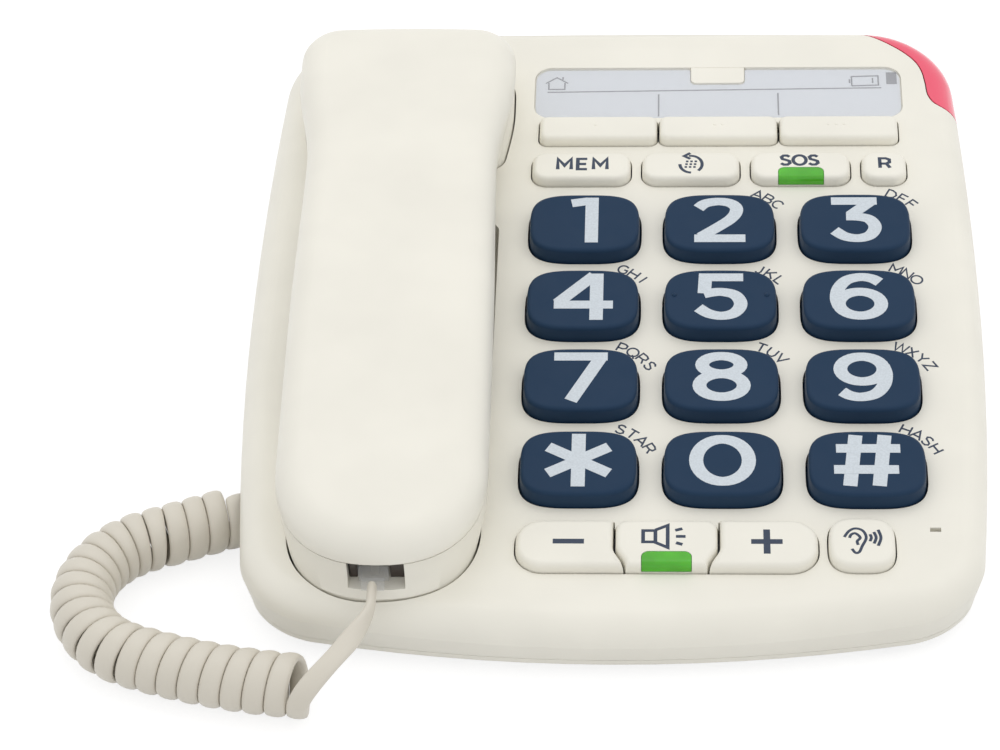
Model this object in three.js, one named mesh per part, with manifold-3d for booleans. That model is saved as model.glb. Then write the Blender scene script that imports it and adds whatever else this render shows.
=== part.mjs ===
// Corded desk telephone with large keys: a sloped base, a handset in its cradle and a curly cord.
// Millimetres, +Z up. The origin is the middle of the base on the desk, and -Y faces the user.
import * as THREE from 'three';
import { mergeVertices } from 'three/addons/utils/BufferGeometryUtils.js';
import Module from 'manifold-3d';

const wasm = await Module();
wasm.setup();

// Base housing
const BASE_WIDTH = 196;
const BASE_DEPTH = 225;
const DECK_TILT = THREE.MathUtils.degToRad(9);
const DECK_HEIGHT = 35.6;          // height of the sloped top over the desk, at the middle of the base
const SIDE_BOW = 7;                // how far the long sides draw in towards their corners
const END_BOW = 4;
const FRONT_CORNER_RADIUS = 20;
const BACK_CORNER_RADIUS = 26;
const EDGE_RADIUS = 7;
const SIDE_TUCK = 3;               // how far the walls lean in towards the desk
const WALL = 2.5;
const DECK_THICKNESS = 3;
const CLEARANCE = 0.3;             // gap between pieces that touch on the real telephone
const FOOT_HEIGHT = 2.6;
const FLOOR_THICKNESS = 2.4;
const PART_LINE = FOOT_HEIGHT + FLOOR_THICKNESS;

// Screws, feet and bosses
const FOOT_RADIUS = 6.5;
const FOOT_RECESS = 0.8;
const FOOT_SIDE_INSET = 30;
const FOOT_FRONT_INSET = 17.5;
const FOOT_BACK_INSET = 20.5;
const BOSS_RADIUS = 3.8;
const BOSS_SIDE_INSET = 10.4;
const BOSS_END_INSET = 42.5;
const LEFT_BOSS_OFFSET = 17;       // from the handset's axis, between the wells and the channel
const SCREW_RADIUS = 1.4;
const SCREW_HEAD_RADIUS = 2.9;
const SCREW_HEAD_HEIGHT = 1.3;
const SCREW_LENGTH = 9;

// Key field, in deck coordinates: x across, s up the slope, h out of the deck
const KEY_COLUMN_INSET = 69.5;     // from the right side to the middle column
const KEY_COLUMN_X = BASE_WIDTH / 2 - KEY_COLUMN_INSET;
const KEY_COLUMN_PITCH = 37;
const KEY_ROW_PITCH = 30;
const KEY_TOP_ROW_S = 26.2;
const KEY_WIDTH = 31;
const KEY_DEPTH = 23.2;
const KEY_HEIGHT = 4.4;
const KEY_SQUARENESS = 3.4;        // exponent of the key's superellipse
const KEY_GAP = 0.5;
const KEY_TRAVEL = 1.5;
const FLANGE_LIP = 0.9;
const FLANGE_THICKNESS = 1.2;
const TAB_INSET = 3;               // from a key's side to the tab that holds it under the deck
const SMALL_KEY_HEIGHT = 3;
const SMALL_KEY_SPACE = 3.2;       // deck between two keys of the function row
const FUNCTION_ROW_S = 50.8;
const FUNCTION_ROW_DEPTH = 12.5;
const FUNCTION_KEY_RADIUS = 4.2;
const FUNCTION_KEY_WIDTHS = [27.6, 27.2, 27.6, 12.4];
const FUNCTION_ROW_REACH = 52.2;   // from the middle column to the row's left end
const MEMORY_ROW_S = 67.5;
const MEMORY_ROW_DEPTH = 10.8;
const MEMORY_KEY_WIDTH = 33.3;
const MEMORY_KEY_SPACE = 0.6;
const MEMORY_KEY_RADIUS = 2.4;
const LOWER_ROW_S = -89.2;
const LOWER_ROW_DEPTH = 16;
const SPEAKER_KEY_OFFSET = 14.3;
const SPEAKER_KEY_X = KEY_COLUMN_X - SPEAKER_KEY_OFFSET;
const SPEAKER_KEY_WIDTH = 26.4;
const SPEAKER_KEY_FOOT_WIDTH = 21;  // its sides curve in to this width at the front
const VOLUME_KEY_WIDTH = 25;
const VOLUME_KEY_RADIUS = 7;
const BOOST_KEY_OFFSET = 34.9;
const BOOST_KEY_WIDTH = 16.8;
const LIGHT_WINDOW_WIDTH = 12.6;
const LIGHT_WINDOW_DEPTH = 7.4;
const LIGHT_WINDOW_THICKNESS = 2.6;

// Label window behind the memory keys
const LABEL_WIDTH = 105;
const LABEL_BACK_S = 95.6;
const LABEL_FRONT_S = 73.9;
const LABEL_RADIUS = 5;
const LABEL_COVER_THICKNESS = 1.1;
const LABEL_CARD_THICKNESS = 0.4;
const LABEL_POCKET_DEPTH = LABEL_COVER_THICKNESS + LABEL_CARD_THICKNESS + 2.4 * CLEARANCE;
const LABEL_TAB_WIDTH = 15.6;
const LABEL_TAB_DEPTH = 6.4;

// Ring light lens: its inner edge on the deck, from the back edge round to the right side, as
// distances in from the right side and from the back edge
const LENS_EDGE = [[32, 0.1], [21.5, 5.2], [14.2, 11.3], [11, 20.5], [10.2, 28.1], [7.8, 32.9], [-1, 40.9]];
const LENS_HEIGHT = 9;
const LENS_OVERHANG = 15;          // how far the form that cuts the lens out passes the base's edges

// Electronics
const MAT_THICKNESS = 1.2;
const BOARD_THICKNESS = 1.6;
const POST_RADIUS = 2;
const LOUDSPEAKER_RADIUS = 23;
const LOUDSPEAKER_MARGIN = 22.6;   // what the channel above and the floor below take
const LOUDSPEAKER_DEPTH = DECK_HEIGHT - LOUDSPEAKER_MARGIN;
const LOUDSPEAKER_S = -4;
const SLOT_COUNT = 5;
const SLOT_LENGTH = 26;
const SLOT_WIDTH = 2.2;
const SLOT_PITCH = 5.6;
const MICROPHONE_INSET = 15.8;
const MICROPHONE_X = BASE_WIDTH / 2 - MICROPHONE_INSET;
const MICROPHONE_OFFSET = 7.2;     // up the slope from the lower row
const MICROPHONE_S = LOWER_ROW_S + MICROPHONE_OFFSET;
const MICROPHONE_RADIUS = 3;
const MICROPHONE_DEPTH = 2.4;
const MICROPHONE_SLOT_WIDTH = 2.8;
const MICROPHONE_SLOT_DEPTH = 1.4;

// Battery compartment in the underside
const BATTERY_OFFSET = 0.5;
const BATTERY_X = KEY_COLUMN_X - BATTERY_OFFSET;
const BATTERY_Y = 42;
const CELL_RADIUS = 5.1;
const CELL_LENGTH = 44.5;
const CELL_COUNT = 3;
const CELL_PITCH = 11;
const COMPARTMENT_WALL = 1.5;
const DOOR_GRIP_WIDTH = 16;
const DOOR_GRIP_LENGTH = 3;
const DOOR_GRIP_DEPTH = 0.5;

// Handset, in deck coordinates about its own long axis
const HANDSET_INSET = 39;          // from the left side to the handset's axis
const HANDSET_X = HANDSET_INSET - BASE_WIDTH / 2;
const HANDSET_FRONT_S = -104.3;
const HANDSET_BACK_S = 92.5;
const HANDLE_HALF_WIDTH = 27.2;
const EAR_HALF_WIDTH = 30.4;
const FLARE_START_S = 40;
const FLARE_END_S = 76;
const FRONT_ROUND = 30;
const BACK_ROUND = 11;
const HANDSET_TOP = 22.6;
const HANDSET_ARCH = 3.6;          // how much lower the ends of the back lie than its middle
const HANDSET_CROWN = 0.9;
const HANDSET_EDGE = 9;
const HANDSET_WALL = 2.2;
const SEAM_HEIGHT = 9.2;           // parting plane of the two handset shells over the deck
const HANDLE_UNDERSIDE = 2.6;
const EAR_CUP_FRONT_S = 48;
const EAR_CUP_DEPTH = 13;
const MOUTH_CUP_BACK_S = -48;
const MOUTH_CUP_MARGIN = 26.6;     // what the jack below the cup takes
const MOUTH_CUP_DEPTH = DECK_HEIGHT - MOUTH_CUP_MARGIN;
const CUP_ROUND = 7;
const CUP_DRAFT = 1;
const CUP_EDGE = 3;
const WELL_GAP = 0.6;
const CHANNEL_FRONT_S = -38;
const CHANNEL_BACK_S = 31;
const CHANNEL_DEPTH = 9;
const CHANNEL_HALF_WIDTH = 26.9;
const CHANNEL_DRAFT = 1.6;

// Inside the handset
const RECEIVER_RADIUS = 15;
const RECEIVER_DEPTH = 8;
const CAPSULE_RADIUS = 5;
const CAPSULE_DEPTH = 4;
const WEIGHT_WIDTH = 22;
const WEIGHT_LENGTH = 60;
const WEIGHT_THICKNESS = 3;
const EAR_SLOT_COUNT = 5;
const EAR_SLOT_LENGTH = 15;
const MOUTH_SLOT_LENGTH = 6;
const CUP_SLOT_WIDTH = 1.8;
const CUP_SLOT_PITCH = 4;

// Hook switch in the ear well
const PLUNGER_RADIUS = 4;
const PLUNGER_S = 62;
const PLUNGER_RISE = 4;
const PLUNGER_FLANGE = 1.5;

// Jacks and plugs
const PLUG_WIDTH = 7.6;
const PLUG_HEIGHT = 5.4;
const PLUG_LENGTH = 11;
const PLUG_LATCH = 0.9;
const PLUG_TAIL = 1.6;             // how far a seated plug stands out of its jack
const PLUG_BOOT = 4;
const JACK_WIDTH = 12.6;
const JACK_HEIGHT = 9.6;
const JACK_LENGTH = 14;
const HANDSET_JACK_HEIGHT = 5.1;   // middle of the handset's jack over the deck
const HANDSET_JACK_LENGTH = 12.5;
const HANDSET_MOUTH_WIDTH = 13;
const HANDSET_MOUTH_BOTTOM = 2.2;
const CORD_STANDOFF = 1.6;         // from the front of the handset to the end of the plug's boot
const BAY_Y = -57;
const BAY_WIDTH = 25;
const BAY_TOP = 18;
const BAY_DEPTH = 9;
const BAY_OVERHANG = 20;           // how far the form that cuts the bay passes the left wall
const BASE_JACK_Z = 10.4;
const LINE_JACK_OFFSET = 11.5;
const LINE_JACK_X = KEY_COLUMN_X + LINE_JACK_OFFSET;
const LINE_JACK_Z = 13.5;
const LINE_SOCKET_WIDTH = 10;
const LINE_SOCKET_HEIGHT = 7;
const LINE_JACK_WIDTH = 15;
const LINE_JACK_HEIGHT = 12.6;
const LINE_SOCKET_DEPTH = 11;

// Curly cord: a flat strand wound left-handed round a route that lies on the desk
const STRAND_WIDTH = 5;
const STRAND_THICKNESS = 2.4;
const COIL_DIAMETER = 15.5;
const CURL_PITCH = 5.5;
const BEND_PITCH = 5.2;            // pitch where the route turns hardest
const CURL_GAP = 0.6;
const CURL_STEPS = 8;
const STRAND_SIDES = 5;
const ROUTE_Z = COIL_DIAMETER / 2 + 0.15;
const ROUTE_START = [-76, -125];
const ROUTE_HEADING = THREE.MathUtils.degToRad(174);   // leftwards, turned a little to the back
const ROUTE_STRETCHES = [            // length along the desk, and how far it turns to the right
  { length: 45.4, turn: THREE.MathUtils.degToRad(16.4) },
  { length: 57, turn: THREE.MathUtils.degToRad(133) },
  { length: 24, turn: 0 },
];
const ROUTE_STEP = 0.25;
const FIRST_CURL_ANGLE = THREE.MathUtils.degToRad(195);

// Finishes
const IVORY = new THREE.MeshStandardMaterial({ color: 0xefede3, roughness: 0.45 });
const NAVY = new THREE.MeshStandardMaterial({ color: 0x28384a, roughness: 0.5 });
const GREEN = new THREE.MeshStandardMaterial({ color: 0x66b33f, roughness: 0.35 });
const RED = new THREE.MeshStandardMaterial({ color: 0xee6478, roughness: 0.25 });
const CLEAR = new THREE.MeshStandardMaterial({ color: 0xdfe4ea, roughness: 0.1, transparent: true, opacity: 0.4 });
const CARD = new THREE.MeshStandardMaterial({ color: 0xdfe2e8, roughness: 0.8 });
const RUBBER = new THREE.MeshStandardMaterial({ color: 0x3a3a3a, roughness: 0.9 });
const SILICONE = new THREE.MeshStandardMaterial({ color: 0xb9bcc0, roughness: 0.8 });
const CORD = new THREE.MeshStandardMaterial({ color: 0xcfc8bb, roughness: 0.55 });
const BOARD = new THREE.MeshStandardMaterial({ color: 0x2f6b3d, roughness: 0.6 });
const DARK = new THREE.MeshStandardMaterial({ color: 0x3b332e, roughness: 0.4 });
const STEEL = new THREE.MeshStandardMaterial({ color: 0xb4b6b8, roughness: 0.35, metalness: 1 });
const CELL = new THREE.MeshStandardMaterial({ color: 0x5c6f86, roughness: 0.4, metalness: 0.3 });

// Solids and booleans
const MESH_TOLERANCE = 1e-4;

function toSolid(geometry) {
  const bare = geometry.clone();
  bare.deleteAttribute('normal');
  bare.deleteAttribute('uv');
  const merged = mergeVertices(bare, MESH_TOLERANCE);
  return new wasm.Manifold(new wasm.Mesh({
    numProp: 3,
    vertProperties: new Float32Array(merged.attributes.position.array),
    triVerts: new Uint32Array(merged.index.array),
  }));
}

function toGeometry(solid) {
  const mesh = solid.getMesh();
  const geometry = new THREE.BufferGeometry();
  geometry.setAttribute('position', new THREE.BufferAttribute(new Float32Array(mesh.vertProperties), 3));
  geometry.setIndex(new THREE.BufferAttribute(new Uint32Array(mesh.triVerts), 1));
  geometry.computeVertexNormals();
  return geometry;
}

const union = (solids) => solids.reduce((sum, solid) => sum.add(solid));
const cut = (body, tools) => tools.reduce((rest, tool) => rest.subtract(tool), body);

// A closed geometry through rings of equal point counts, listed from the bottom to the top,
// each running anticlockwise seen from above.
function loft(rings, fillTop = fanFill) {
  const count = rings[0].length;
  const points = rings.flat();
  const faces = [];
  for (let level = 0; level + 1 < rings.length; level += 1) {
    for (let i = 0; i < count; i += 1) {
      const a = level * count + i;
      const b = level * count + (i + 1) % count;
      faces.push([a, b, b + count], [a, b + count, a + count]);
    }
  }
  fanFill(points, faces, 0, count, false);
  fillTop(points, faces, (rings.length - 1) * count, count, true);
  return indexedGeometry(points, faces);
}

function indexedGeometry(points, faces) {
  const geometry = new THREE.BufferGeometry().setFromPoints(points);
  geometry.setIndex(faces.flat());
  return geometry;
}

function fanFill(points, faces, start, count, up) {
  const middle = points.slice(start, start + count)
    .reduce((sum, point) => sum.add(point), new THREE.Vector3()).divideScalar(count);
  const centre = points.push(middle) - 1;
  for (let i = 0; i < count; i += 1) {
    const a = start + i;
    const b = start + (i + 1) % count;
    faces.push(up ? [a, b, centre] : [b, a, centre]);
  }
}

// Fills a ring that is symmetric about its first point's axis with rungs and a raised middle line
function ladderFill(crown) {
  return (points, faces, start, count) => {
    const half = count / 2;
    const middle = [start];
    for (let k = 1; k < half; k += 1) {
      const rung = points[start + k].clone().add(points[start + count - k]).divideScalar(2);
      rung.z += crown;
      middle.push(points.push(rung) - 1);
    }
    middle.push(start + half);
    for (let k = 0; k < half; k += 1) {
      const right = [start + k, start + k + 1];
      const left = [start + (count - k) % count, start + count - k - 1];
      if (k > 0) {
        faces.push([right[0], right[1], middle[k]], [middle[k], left[1], left[0]]);
      }
      if (k + 1 < half) {
        faces.push([right[1], middle[k + 1], middle[k]], [middle[k], middle[k + 1], left[1]]);
      }
    }
  };
}

// Moves each point of a closed anticlockwise outline inwards, or outwards where inset is negative
function offsetOutline(outline, inset) {
  const count = outline.length;
  return outline.map((point, i) => {
    const before = point.clone().sub(outline[(i + count - 1) % count]).normalize();
    const after = outline[(i + 1) % count].clone().sub(point).normalize();
    const normal = new THREE.Vector2(-before.y - after.y, before.x + after.x).normalize();
    const slant = Math.max(0.5, normal.x * -before.y + normal.y * before.x);
    return point.clone().addScaledVector(normal, inset / slant);
  });
}

const atHeight = (outline, height) => outline.map((p) => new THREE.Vector3(p.x, p.y, height));

// Profile entries are [inset, height] pairs from the bottom to the top
const stack = (outline, profile, fillTop) =>
  loft(profile.map(([inset, height]) => atHeight(offsetOutline(outline, inset), height)), fillTop);

const prism = (outline, bottom, top) => stack(outline, [[0, bottom], [0, top]]);

function roundedRectangle(left, right, front, back, radius, steps = 4) {
  const corners = [[right, front, -90], [right, back, 0], [left, back, 90], [left, front, 180]];
  return corners.flatMap(([x, y, startAngle]) => {
    const cx = x - Math.sign(x - (left + right) / 2) * radius;
    const cy = y - Math.sign(y - (front + back) / 2) * radius;
    return Array.from({ length: steps + 1 }, (_, i) => {
      const angle = THREE.MathUtils.degToRad(startAngle + 90 * i / steps);
      return new THREE.Vector2(cx + radius * Math.cos(angle), cy + radius * Math.sin(angle));
    });
  });
}

function superellipse(halfWidth, halfDepth, exponent, count) {
  return Array.from({ length: count }, (_, i) => {
    const angle = 2 * Math.PI * i / count;
    const bend = (value) => Math.sign(value) * Math.abs(value) ** (2 / exponent);
    return new THREE.Vector2(halfWidth * bend(Math.cos(angle)), halfDepth * bend(Math.sin(angle)));
  });
}

const circle = (radius, count, x = 0, y = 0) =>
  superellipse(radius, radius, 2, count).map((p) => p.add(new THREE.Vector2(x, y)));

const moved = (outline, x, y) => outline.map((p) => new THREE.Vector2(p.x + x, p.y + y));

const box = (x0, x1, y0, y1, z0, z1) =>
  new THREE.BoxGeometry(x1 - x0, y1 - y0, z1 - z0).translate((x0 + x1) / 2, (y0 + y1) / 2, (z0 + z1) / 2);

const smooth = (value) => {
  const t = THREE.MathUtils.clamp(value, 0, 1);
  return t * t * (3 - 2 * t);
};

// The sloped deck
const deckMatrix = new THREE.Matrix4().makeRotationX(DECK_TILT).setPosition(0, 0, DECK_HEIGHT);
const deckZ = (y) => DECK_HEIGHT + y * Math.tan(DECK_TILT);
const onDeck = (geometry) => toSolid(geometry.clone().applyMatrix4(deckMatrix));

// Base outline in plan: a rounded rectangle whose sides bow outwards
function baseOutline() {
  const halfWidth = BASE_WIDTH / 2;
  const halfDepth = BASE_DEPTH / 2;
  const corner = (signX, signY, radius, startAngle) => Array.from({ length: 7 }, (_, i) => {
    const angle = THREE.MathUtils.degToRad(startAngle + 15 * i);
    return new THREE.Vector2(
      signX * (halfWidth - radius) + radius * Math.cos(angle),
      signY * (halfDepth - radius) + radius * Math.sin(angle),
    );
  });
  const side = (from, to, steps) =>
    Array.from({ length: steps - 1 }, (_, i) => from.clone().lerp(to, (i + 1) / steps));
  const corners = [
    corner(1, -1, FRONT_CORNER_RADIUS, -90),
    corner(1, 1, BACK_CORNER_RADIUS, 0),
    corner(-1, 1, BACK_CORNER_RADIUS, 90),
    corner(-1, -1, FRONT_CORNER_RADIUS, 180),
  ];
  const square = corners.flatMap((points, i) => [
    ...points,
    ...side(points[points.length - 1], corners[(i + 1) % 4][0], 5),
  ]);
  return square.map((p) => new THREE.Vector2(
    p.x * (1 - SIDE_BOW / halfWidth * (p.y / halfDepth) ** 2),
    p.y * (1 - END_BOW / halfDepth * (p.x / halfWidth) ** 2),
  ));
}

const BASE_OUTLINE = baseOutline();

// A ring of the base at an inset, at a set height or at a drop below the sloped deck
const baseRing = (inset, place) => offsetOutline(BASE_OUTLINE, inset)
  .map((p) => new THREE.Vector3(p.x, p.y, place(p.y)));

function baseBlock() {
  const rounding = [0, 30, 60, 90].map((degrees) => {
    const angle = THREE.MathUtils.degToRad(degrees);
    const drop = EDGE_RADIUS * (1 - Math.sin(angle));
    return baseRing(EDGE_RADIUS * (1 - Math.cos(angle)), (y) => deckZ(y) - drop);
  });
  return toSolid(loft([baseRing(SIDE_TUCK, () => PART_LINE + CLEARANCE), ...rounding]));
}

function baseCavity(extra = 0) {
  const under = DECK_THICKNESS + extra;
  return toSolid(loft([
    baseRing(SIDE_TUCK + WALL + extra, () => 0),
    baseRing(WALL + extra, (y) => deckZ(y) - EDGE_RADIUS - extra),
    baseRing(WALL + EDGE_RADIUS / 2 + extra, (y) => deckZ(y) - under - 1),
    baseRing(EDGE_RADIUS + WALL + extra, (y) => deckZ(y) - under),
  ]));
}

// Handset outlines in plan, about the handset's own axis
function halfWidthAt(s) {
  const flare = smooth((s - FLARE_START_S) / (FLARE_END_S - FLARE_START_S));
  return HANDLE_HALF_WIDTH + (EAR_HALF_WIDTH - HANDLE_HALF_WIDTH) * flare;
}

function gripOutline(front, back, frontRound, backRound, middleSteps) {
  const power = 2 / 2.3;
  const side = [];
  const endSteps = 5;
  for (let i = 0; i <= endSteps; i += 1) {
    const angle = Math.PI / 2 * i / endSteps;
    const s = front + frontRound * (1 - Math.cos(angle) ** power);
    side.push([halfWidthAt(s) * Math.sin(angle) ** power, s]);
  }
  const span = back - backRound - front - frontRound;
  for (let i = 1; i < middleSteps; i += 1) {
    const s = front + frontRound + span * i / middleSteps;
    side.push([halfWidthAt(s), s]);
  }
  for (let i = endSteps; i >= 0; i -= 1) {
    const angle = Math.PI / 2 * i / endSteps;
    const s = back - backRound * (1 - Math.cos(angle) ** power);
    side.push([halfWidthAt(s) * Math.sin(angle) ** power, s]);
  }
  const right = side.map(([x, s]) => new THREE.Vector2(x, s));
  const left = side.slice(1, -1).reverse().map(([x, s]) => new THREE.Vector2(-x, s));
  return moved([...right, ...left], HANDSET_X, 0);
}

const HANDSET_OUTLINE = gripOutline(HANDSET_FRONT_S, HANDSET_BACK_S, FRONT_ROUND, BACK_ROUND, 8);
const EAR_CUP_OUTLINE = gripOutline(EAR_CUP_FRONT_S, HANDSET_BACK_S, CUP_ROUND, BACK_ROUND, 3);
const MOUTH_CUP_OUTLINE = gripOutline(HANDSET_FRONT_S, MOUTH_CUP_BACK_S, FRONT_ROUND, CUP_ROUND, 3);

const handsetTop = (s) => {
  const middle = (HANDSET_FRONT_S + HANDSET_BACK_S) / 2;
  const half = (HANDSET_BACK_S - HANDSET_FRONT_S) / 2;
  return HANDSET_TOP - HANDSET_ARCH * ((s - middle) / half) ** 2;
};

// The upper part of the handset above a given height, thinner all round by a wall
function handsetBack(bottom, wall) {
  const edge = HANDSET_EDGE - wall;
  const ring = (inset, place) => offsetOutline(HANDSET_OUTLINE, inset + wall)
    .map((p) => new THREE.Vector3(p.x, p.y, place(p.y)));
  const rounding = [0, 30, 60, 90].map((degrees) => {
    const angle = THREE.MathUtils.degToRad(degrees);
    const drop = wall + edge * (1 - Math.sin(angle));
    return ring(edge * (1 - Math.cos(angle)), (s) => handsetTop(s) - drop);
  });
  const crown = HANDSET_CROWN;
  return loft([ring(CLEARANCE, () => bottom), ...rounding], ladderFill(crown));
}

const cup = (outline, depth, inset, top) => stack(outline, [
  [CUP_DRAFT + CUP_EDGE + inset, -depth],
  [CUP_DRAFT + inset, -depth + CUP_EDGE],
  [2 * CLEARANCE + inset, top],
]);

const well = (outline, depth) => stack(outline, [
  [CUP_DRAFT - WELL_GAP / 2, -depth - CLEARANCE],
  [2 * CLEARANCE - WELL_GAP, 2 * EDGE_RADIUS],
]);

// The block of plastic that is left round a well, below the deck
const wellBlock = (outline, depth) => stack(outline, [
  [CUP_DRAFT - WELL_GAP / 2 - WALL, -depth - CLEARANCE - WALL],
  [2 * CLEARANCE - WELL_GAP - WALL, 0],
]);

const CHANNEL_OUTLINE = roundedRectangle(
  HANDSET_X - CHANNEL_HALF_WIDTH,
  HANDSET_X + CHANNEL_HALF_WIDTH,
  CHANNEL_FRONT_S,
  CHANNEL_BACK_S,
  5,
  3,
);

// Keys: outlines, and where each one stands on the deck
const MEMORY_LEFT = KEY_COLUMN_X - 1.5 * MEMORY_KEY_WIDTH - MEMORY_KEY_SPACE;

function speakerSide(s) {
  const front = LOWER_ROW_S - LOWER_ROW_DEPTH / 2;
  const narrow = SPEAKER_KEY_FOOT_WIDTH / 2;
  return narrow + (SPEAKER_KEY_WIDTH / 2 - narrow) * smooth((s - front) / (0.45 * LOWER_ROW_DEPTH));
}

// Points up the curved side that the loudspeaker key shares with a volume key
const sharedSide = (gap) => Array.from({ length: 6 }, (_, i) => {
  const s = LOWER_ROW_S + LOWER_ROW_DEPTH * (i / 5 - 0.5);
  return new THREE.Vector2(speakerSide(s) + gap, s);
});

function speakerKeyOutline() {
  const right = sharedSide(-MEMORY_KEY_SPACE / 2).map((p) => new THREE.Vector2(p.x, p.y));
  right.pop();
  const top = LOWER_ROW_S + LOWER_ROW_DEPTH / 2;
  const width = SPEAKER_KEY_WIDTH / 2 - MEMORY_KEY_SPACE / 2;
  right.push(new THREE.Vector2(width - 0.9, top - 0.9), new THREE.Vector2(width - 3.2, top));
  const left = right.map((p) => new THREE.Vector2(-p.x, p.y)).reverse();
  return moved([...right, ...left], SPEAKER_KEY_X, 0);
}

function volumeKeyOutline(side) {
  const inner = sharedSide(MEMORY_KEY_SPACE / 2);
  const outerX = SPEAKER_KEY_WIDTH / 2 + VOLUME_KEY_WIDTH;
  const front = LOWER_ROW_S - LOWER_ROW_DEPTH / 2;
  const back = LOWER_ROW_S + LOWER_ROW_DEPTH / 2;
  const round = (cy, startAngle) => Array.from({ length: 5 }, (_, i) => {
    const angle = THREE.MathUtils.degToRad(startAngle + 22.5 * i);
    return new THREE.Vector2(
      outerX - VOLUME_KEY_RADIUS + VOLUME_KEY_RADIUS * Math.cos(angle),
      cy + VOLUME_KEY_RADIUS * Math.sin(angle),
    );
  });
  const right = [
    ...round(front + VOLUME_KEY_RADIUS, -90),
    ...round(back - VOLUME_KEY_RADIUS, 0),
    ...inner.reverse(),
  ];
  const outline = side > 0 ? right : right.map((p) => new THREE.Vector2(-p.x, p.y)).reverse();
  return moved(outline, SPEAKER_KEY_X, 0);
}

function functionKeyOutline(index) {
  const before = FUNCTION_KEY_WIDTHS.slice(0, index).reduce((sum, width) => sum + width, 0);
  const left = KEY_COLUMN_X - FUNCTION_ROW_REACH + before + index * SMALL_KEY_SPACE;
  return roundedRectangle(
    left,
    left + FUNCTION_KEY_WIDTHS[index],
    FUNCTION_ROW_S - FUNCTION_ROW_DEPTH / 2,
    FUNCTION_ROW_S + FUNCTION_ROW_DEPTH / 2,
    FUNCTION_KEY_RADIUS,
  );
}

function memoryKeyOutline(index) {
  const left = MEMORY_LEFT + index * (MEMORY_KEY_WIDTH + MEMORY_KEY_SPACE);
  return roundedRectangle(
    left,
    left + MEMORY_KEY_WIDTH,
    MEMORY_ROW_S - MEMORY_ROW_DEPTH / 2,
    MEMORY_ROW_S + MEMORY_ROW_DEPTH / 2,
    MEMORY_KEY_RADIUS,
    2,
  );
}

const boostKeyOutline = () => moved(
  superellipse(BOOST_KEY_WIDTH / 2, LOWER_ROW_DEPTH / 2 + 0.4, 3.2, 20),
  KEY_COLUMN_X + BOOST_KEY_OFFSET,
  LOWER_ROW_S + 0.6,
);

const DIGIT_OUTLINE = superellipse(KEY_WIDTH / 2, KEY_DEPTH / 2, KEY_SQUARENESS, 20);
const DIGIT_KEYS = ['key_1', 'key_2', 'key_3', 'key_4', 'key_5', 'key_6', 'key_7', 'key_8', 'key_9',
  'key_star', 'key_0', 'key_hash'].map((name, i) => ({
  name,
  x: KEY_COLUMN_X + (i % 3 - 1) * KEY_COLUMN_PITCH,
  s: KEY_TOP_ROW_S - Math.floor(i / 3) * KEY_ROW_PITCH,
}));

const SMALL_KEYS = [
  { name: 'key_memory_1', outline: memoryKeyOutline(0), tabs: [TAB_INSET, TAB_INSET] },
  { name: 'key_memory_2', outline: memoryKeyOutline(1), tabs: [TAB_INSET, TAB_INSET] },
  { name: 'key_memory_3', outline: memoryKeyOutline(2), tabs: [TAB_INSET, TAB_INSET] },
  { name: 'key_mem', outline: functionKeyOutline(0) },
  { name: 'key_redial', outline: functionKeyOutline(1) },
  { name: 'key_sos', outline: functionKeyOutline(2), light: 'sos_light_window' },
  { name: 'key_r', outline: functionKeyOutline(3) },
  { name: 'key_volume_down', outline: volumeKeyOutline(-1), tabs: [VOLUME_KEY_RADIUS, 2 * TAB_INSET] },
  { name: 'key_speaker', outline: speakerKeyOutline(), light: 'speaker_light_window', tabs: [4, 4] },
  { name: 'key_volume_up', outline: volumeKeyOutline(1), tabs: [2 * TAB_INSET, VOLUME_KEY_RADIUS] },
  { name: 'key_boost', outline: boostKeyOutline() },
];

const FLANGE_TOP = -DECK_THICKNESS - CLEARANCE;
const FLANGE_BOTTOM = FLANGE_TOP - FLANGE_THICKNESS;
const MAT_TOP = FLANGE_BOTTOM - KEY_TRAVEL - CLEARANCE;
const BOARD_TOP = MAT_TOP - MAT_THICKNESS - CLEARANCE;

const keyBody = (outline, top, lip) => stack(outline, [
  [-lip, FLANGE_BOTTOM],
  [-lip, FLANGE_TOP],
  [0, FLANGE_TOP],
  ...top,
]);

const digitGeometry = keyBody(DIGIT_OUTLINE, [
  [0.45, KEY_HEIGHT - 1.1],
  [0.95, KEY_HEIGHT - 0.3],
  [1.9, KEY_HEIGHT],
], FLANGE_LIP);

// A small key has a flange all round, or tabs at its front and back where it shares an opening
function smallKeySolid({ outline, tabs }) {
  const top = [
    [0.2, SMALL_KEY_HEIGHT - 1.4],
    [1, SMALL_KEY_HEIGHT - 0.35],
    [2.2, SMALL_KEY_HEIGHT],
  ];
  if (!tabs) {
    return toSolid(keyBody(outline, top, FLANGE_LIP));
  }
  const { min, max } = boundsOf(outline);
  const plate = box(min.x + tabs[0], max.x - tabs[1], min.y - FLANGE_LIP, max.y + FLANGE_LIP,
    FLANGE_BOTTOM, FLANGE_TOP);
  return toSolid(stack(outline, [[0, FLANGE_BOTTOM], ...top])).add(toSolid(plate));
}

function boundsOf(outline) {
  return new THREE.Box2().setFromPoints(outline);
}

// The slot for a light window in the front of a key, and the window that fills it
function lightSlot(outline, gap) {
  const { min, max } = boundsOf(outline);
  const x = (min.x + max.x) / 2;
  const half = LIGHT_WINDOW_WIDTH / 2 + gap;
  const back = min.y + LIGHT_WINDOW_DEPTH + gap;
  const bottom = SMALL_KEY_HEIGHT - LIGHT_WINDOW_THICKNESS - gap;
  return toSolid(prism(roundedRectangle(x - half, x + half, min.y - 5, back, 1.6 + gap), bottom, KEY_HEIGHT));
}

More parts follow.
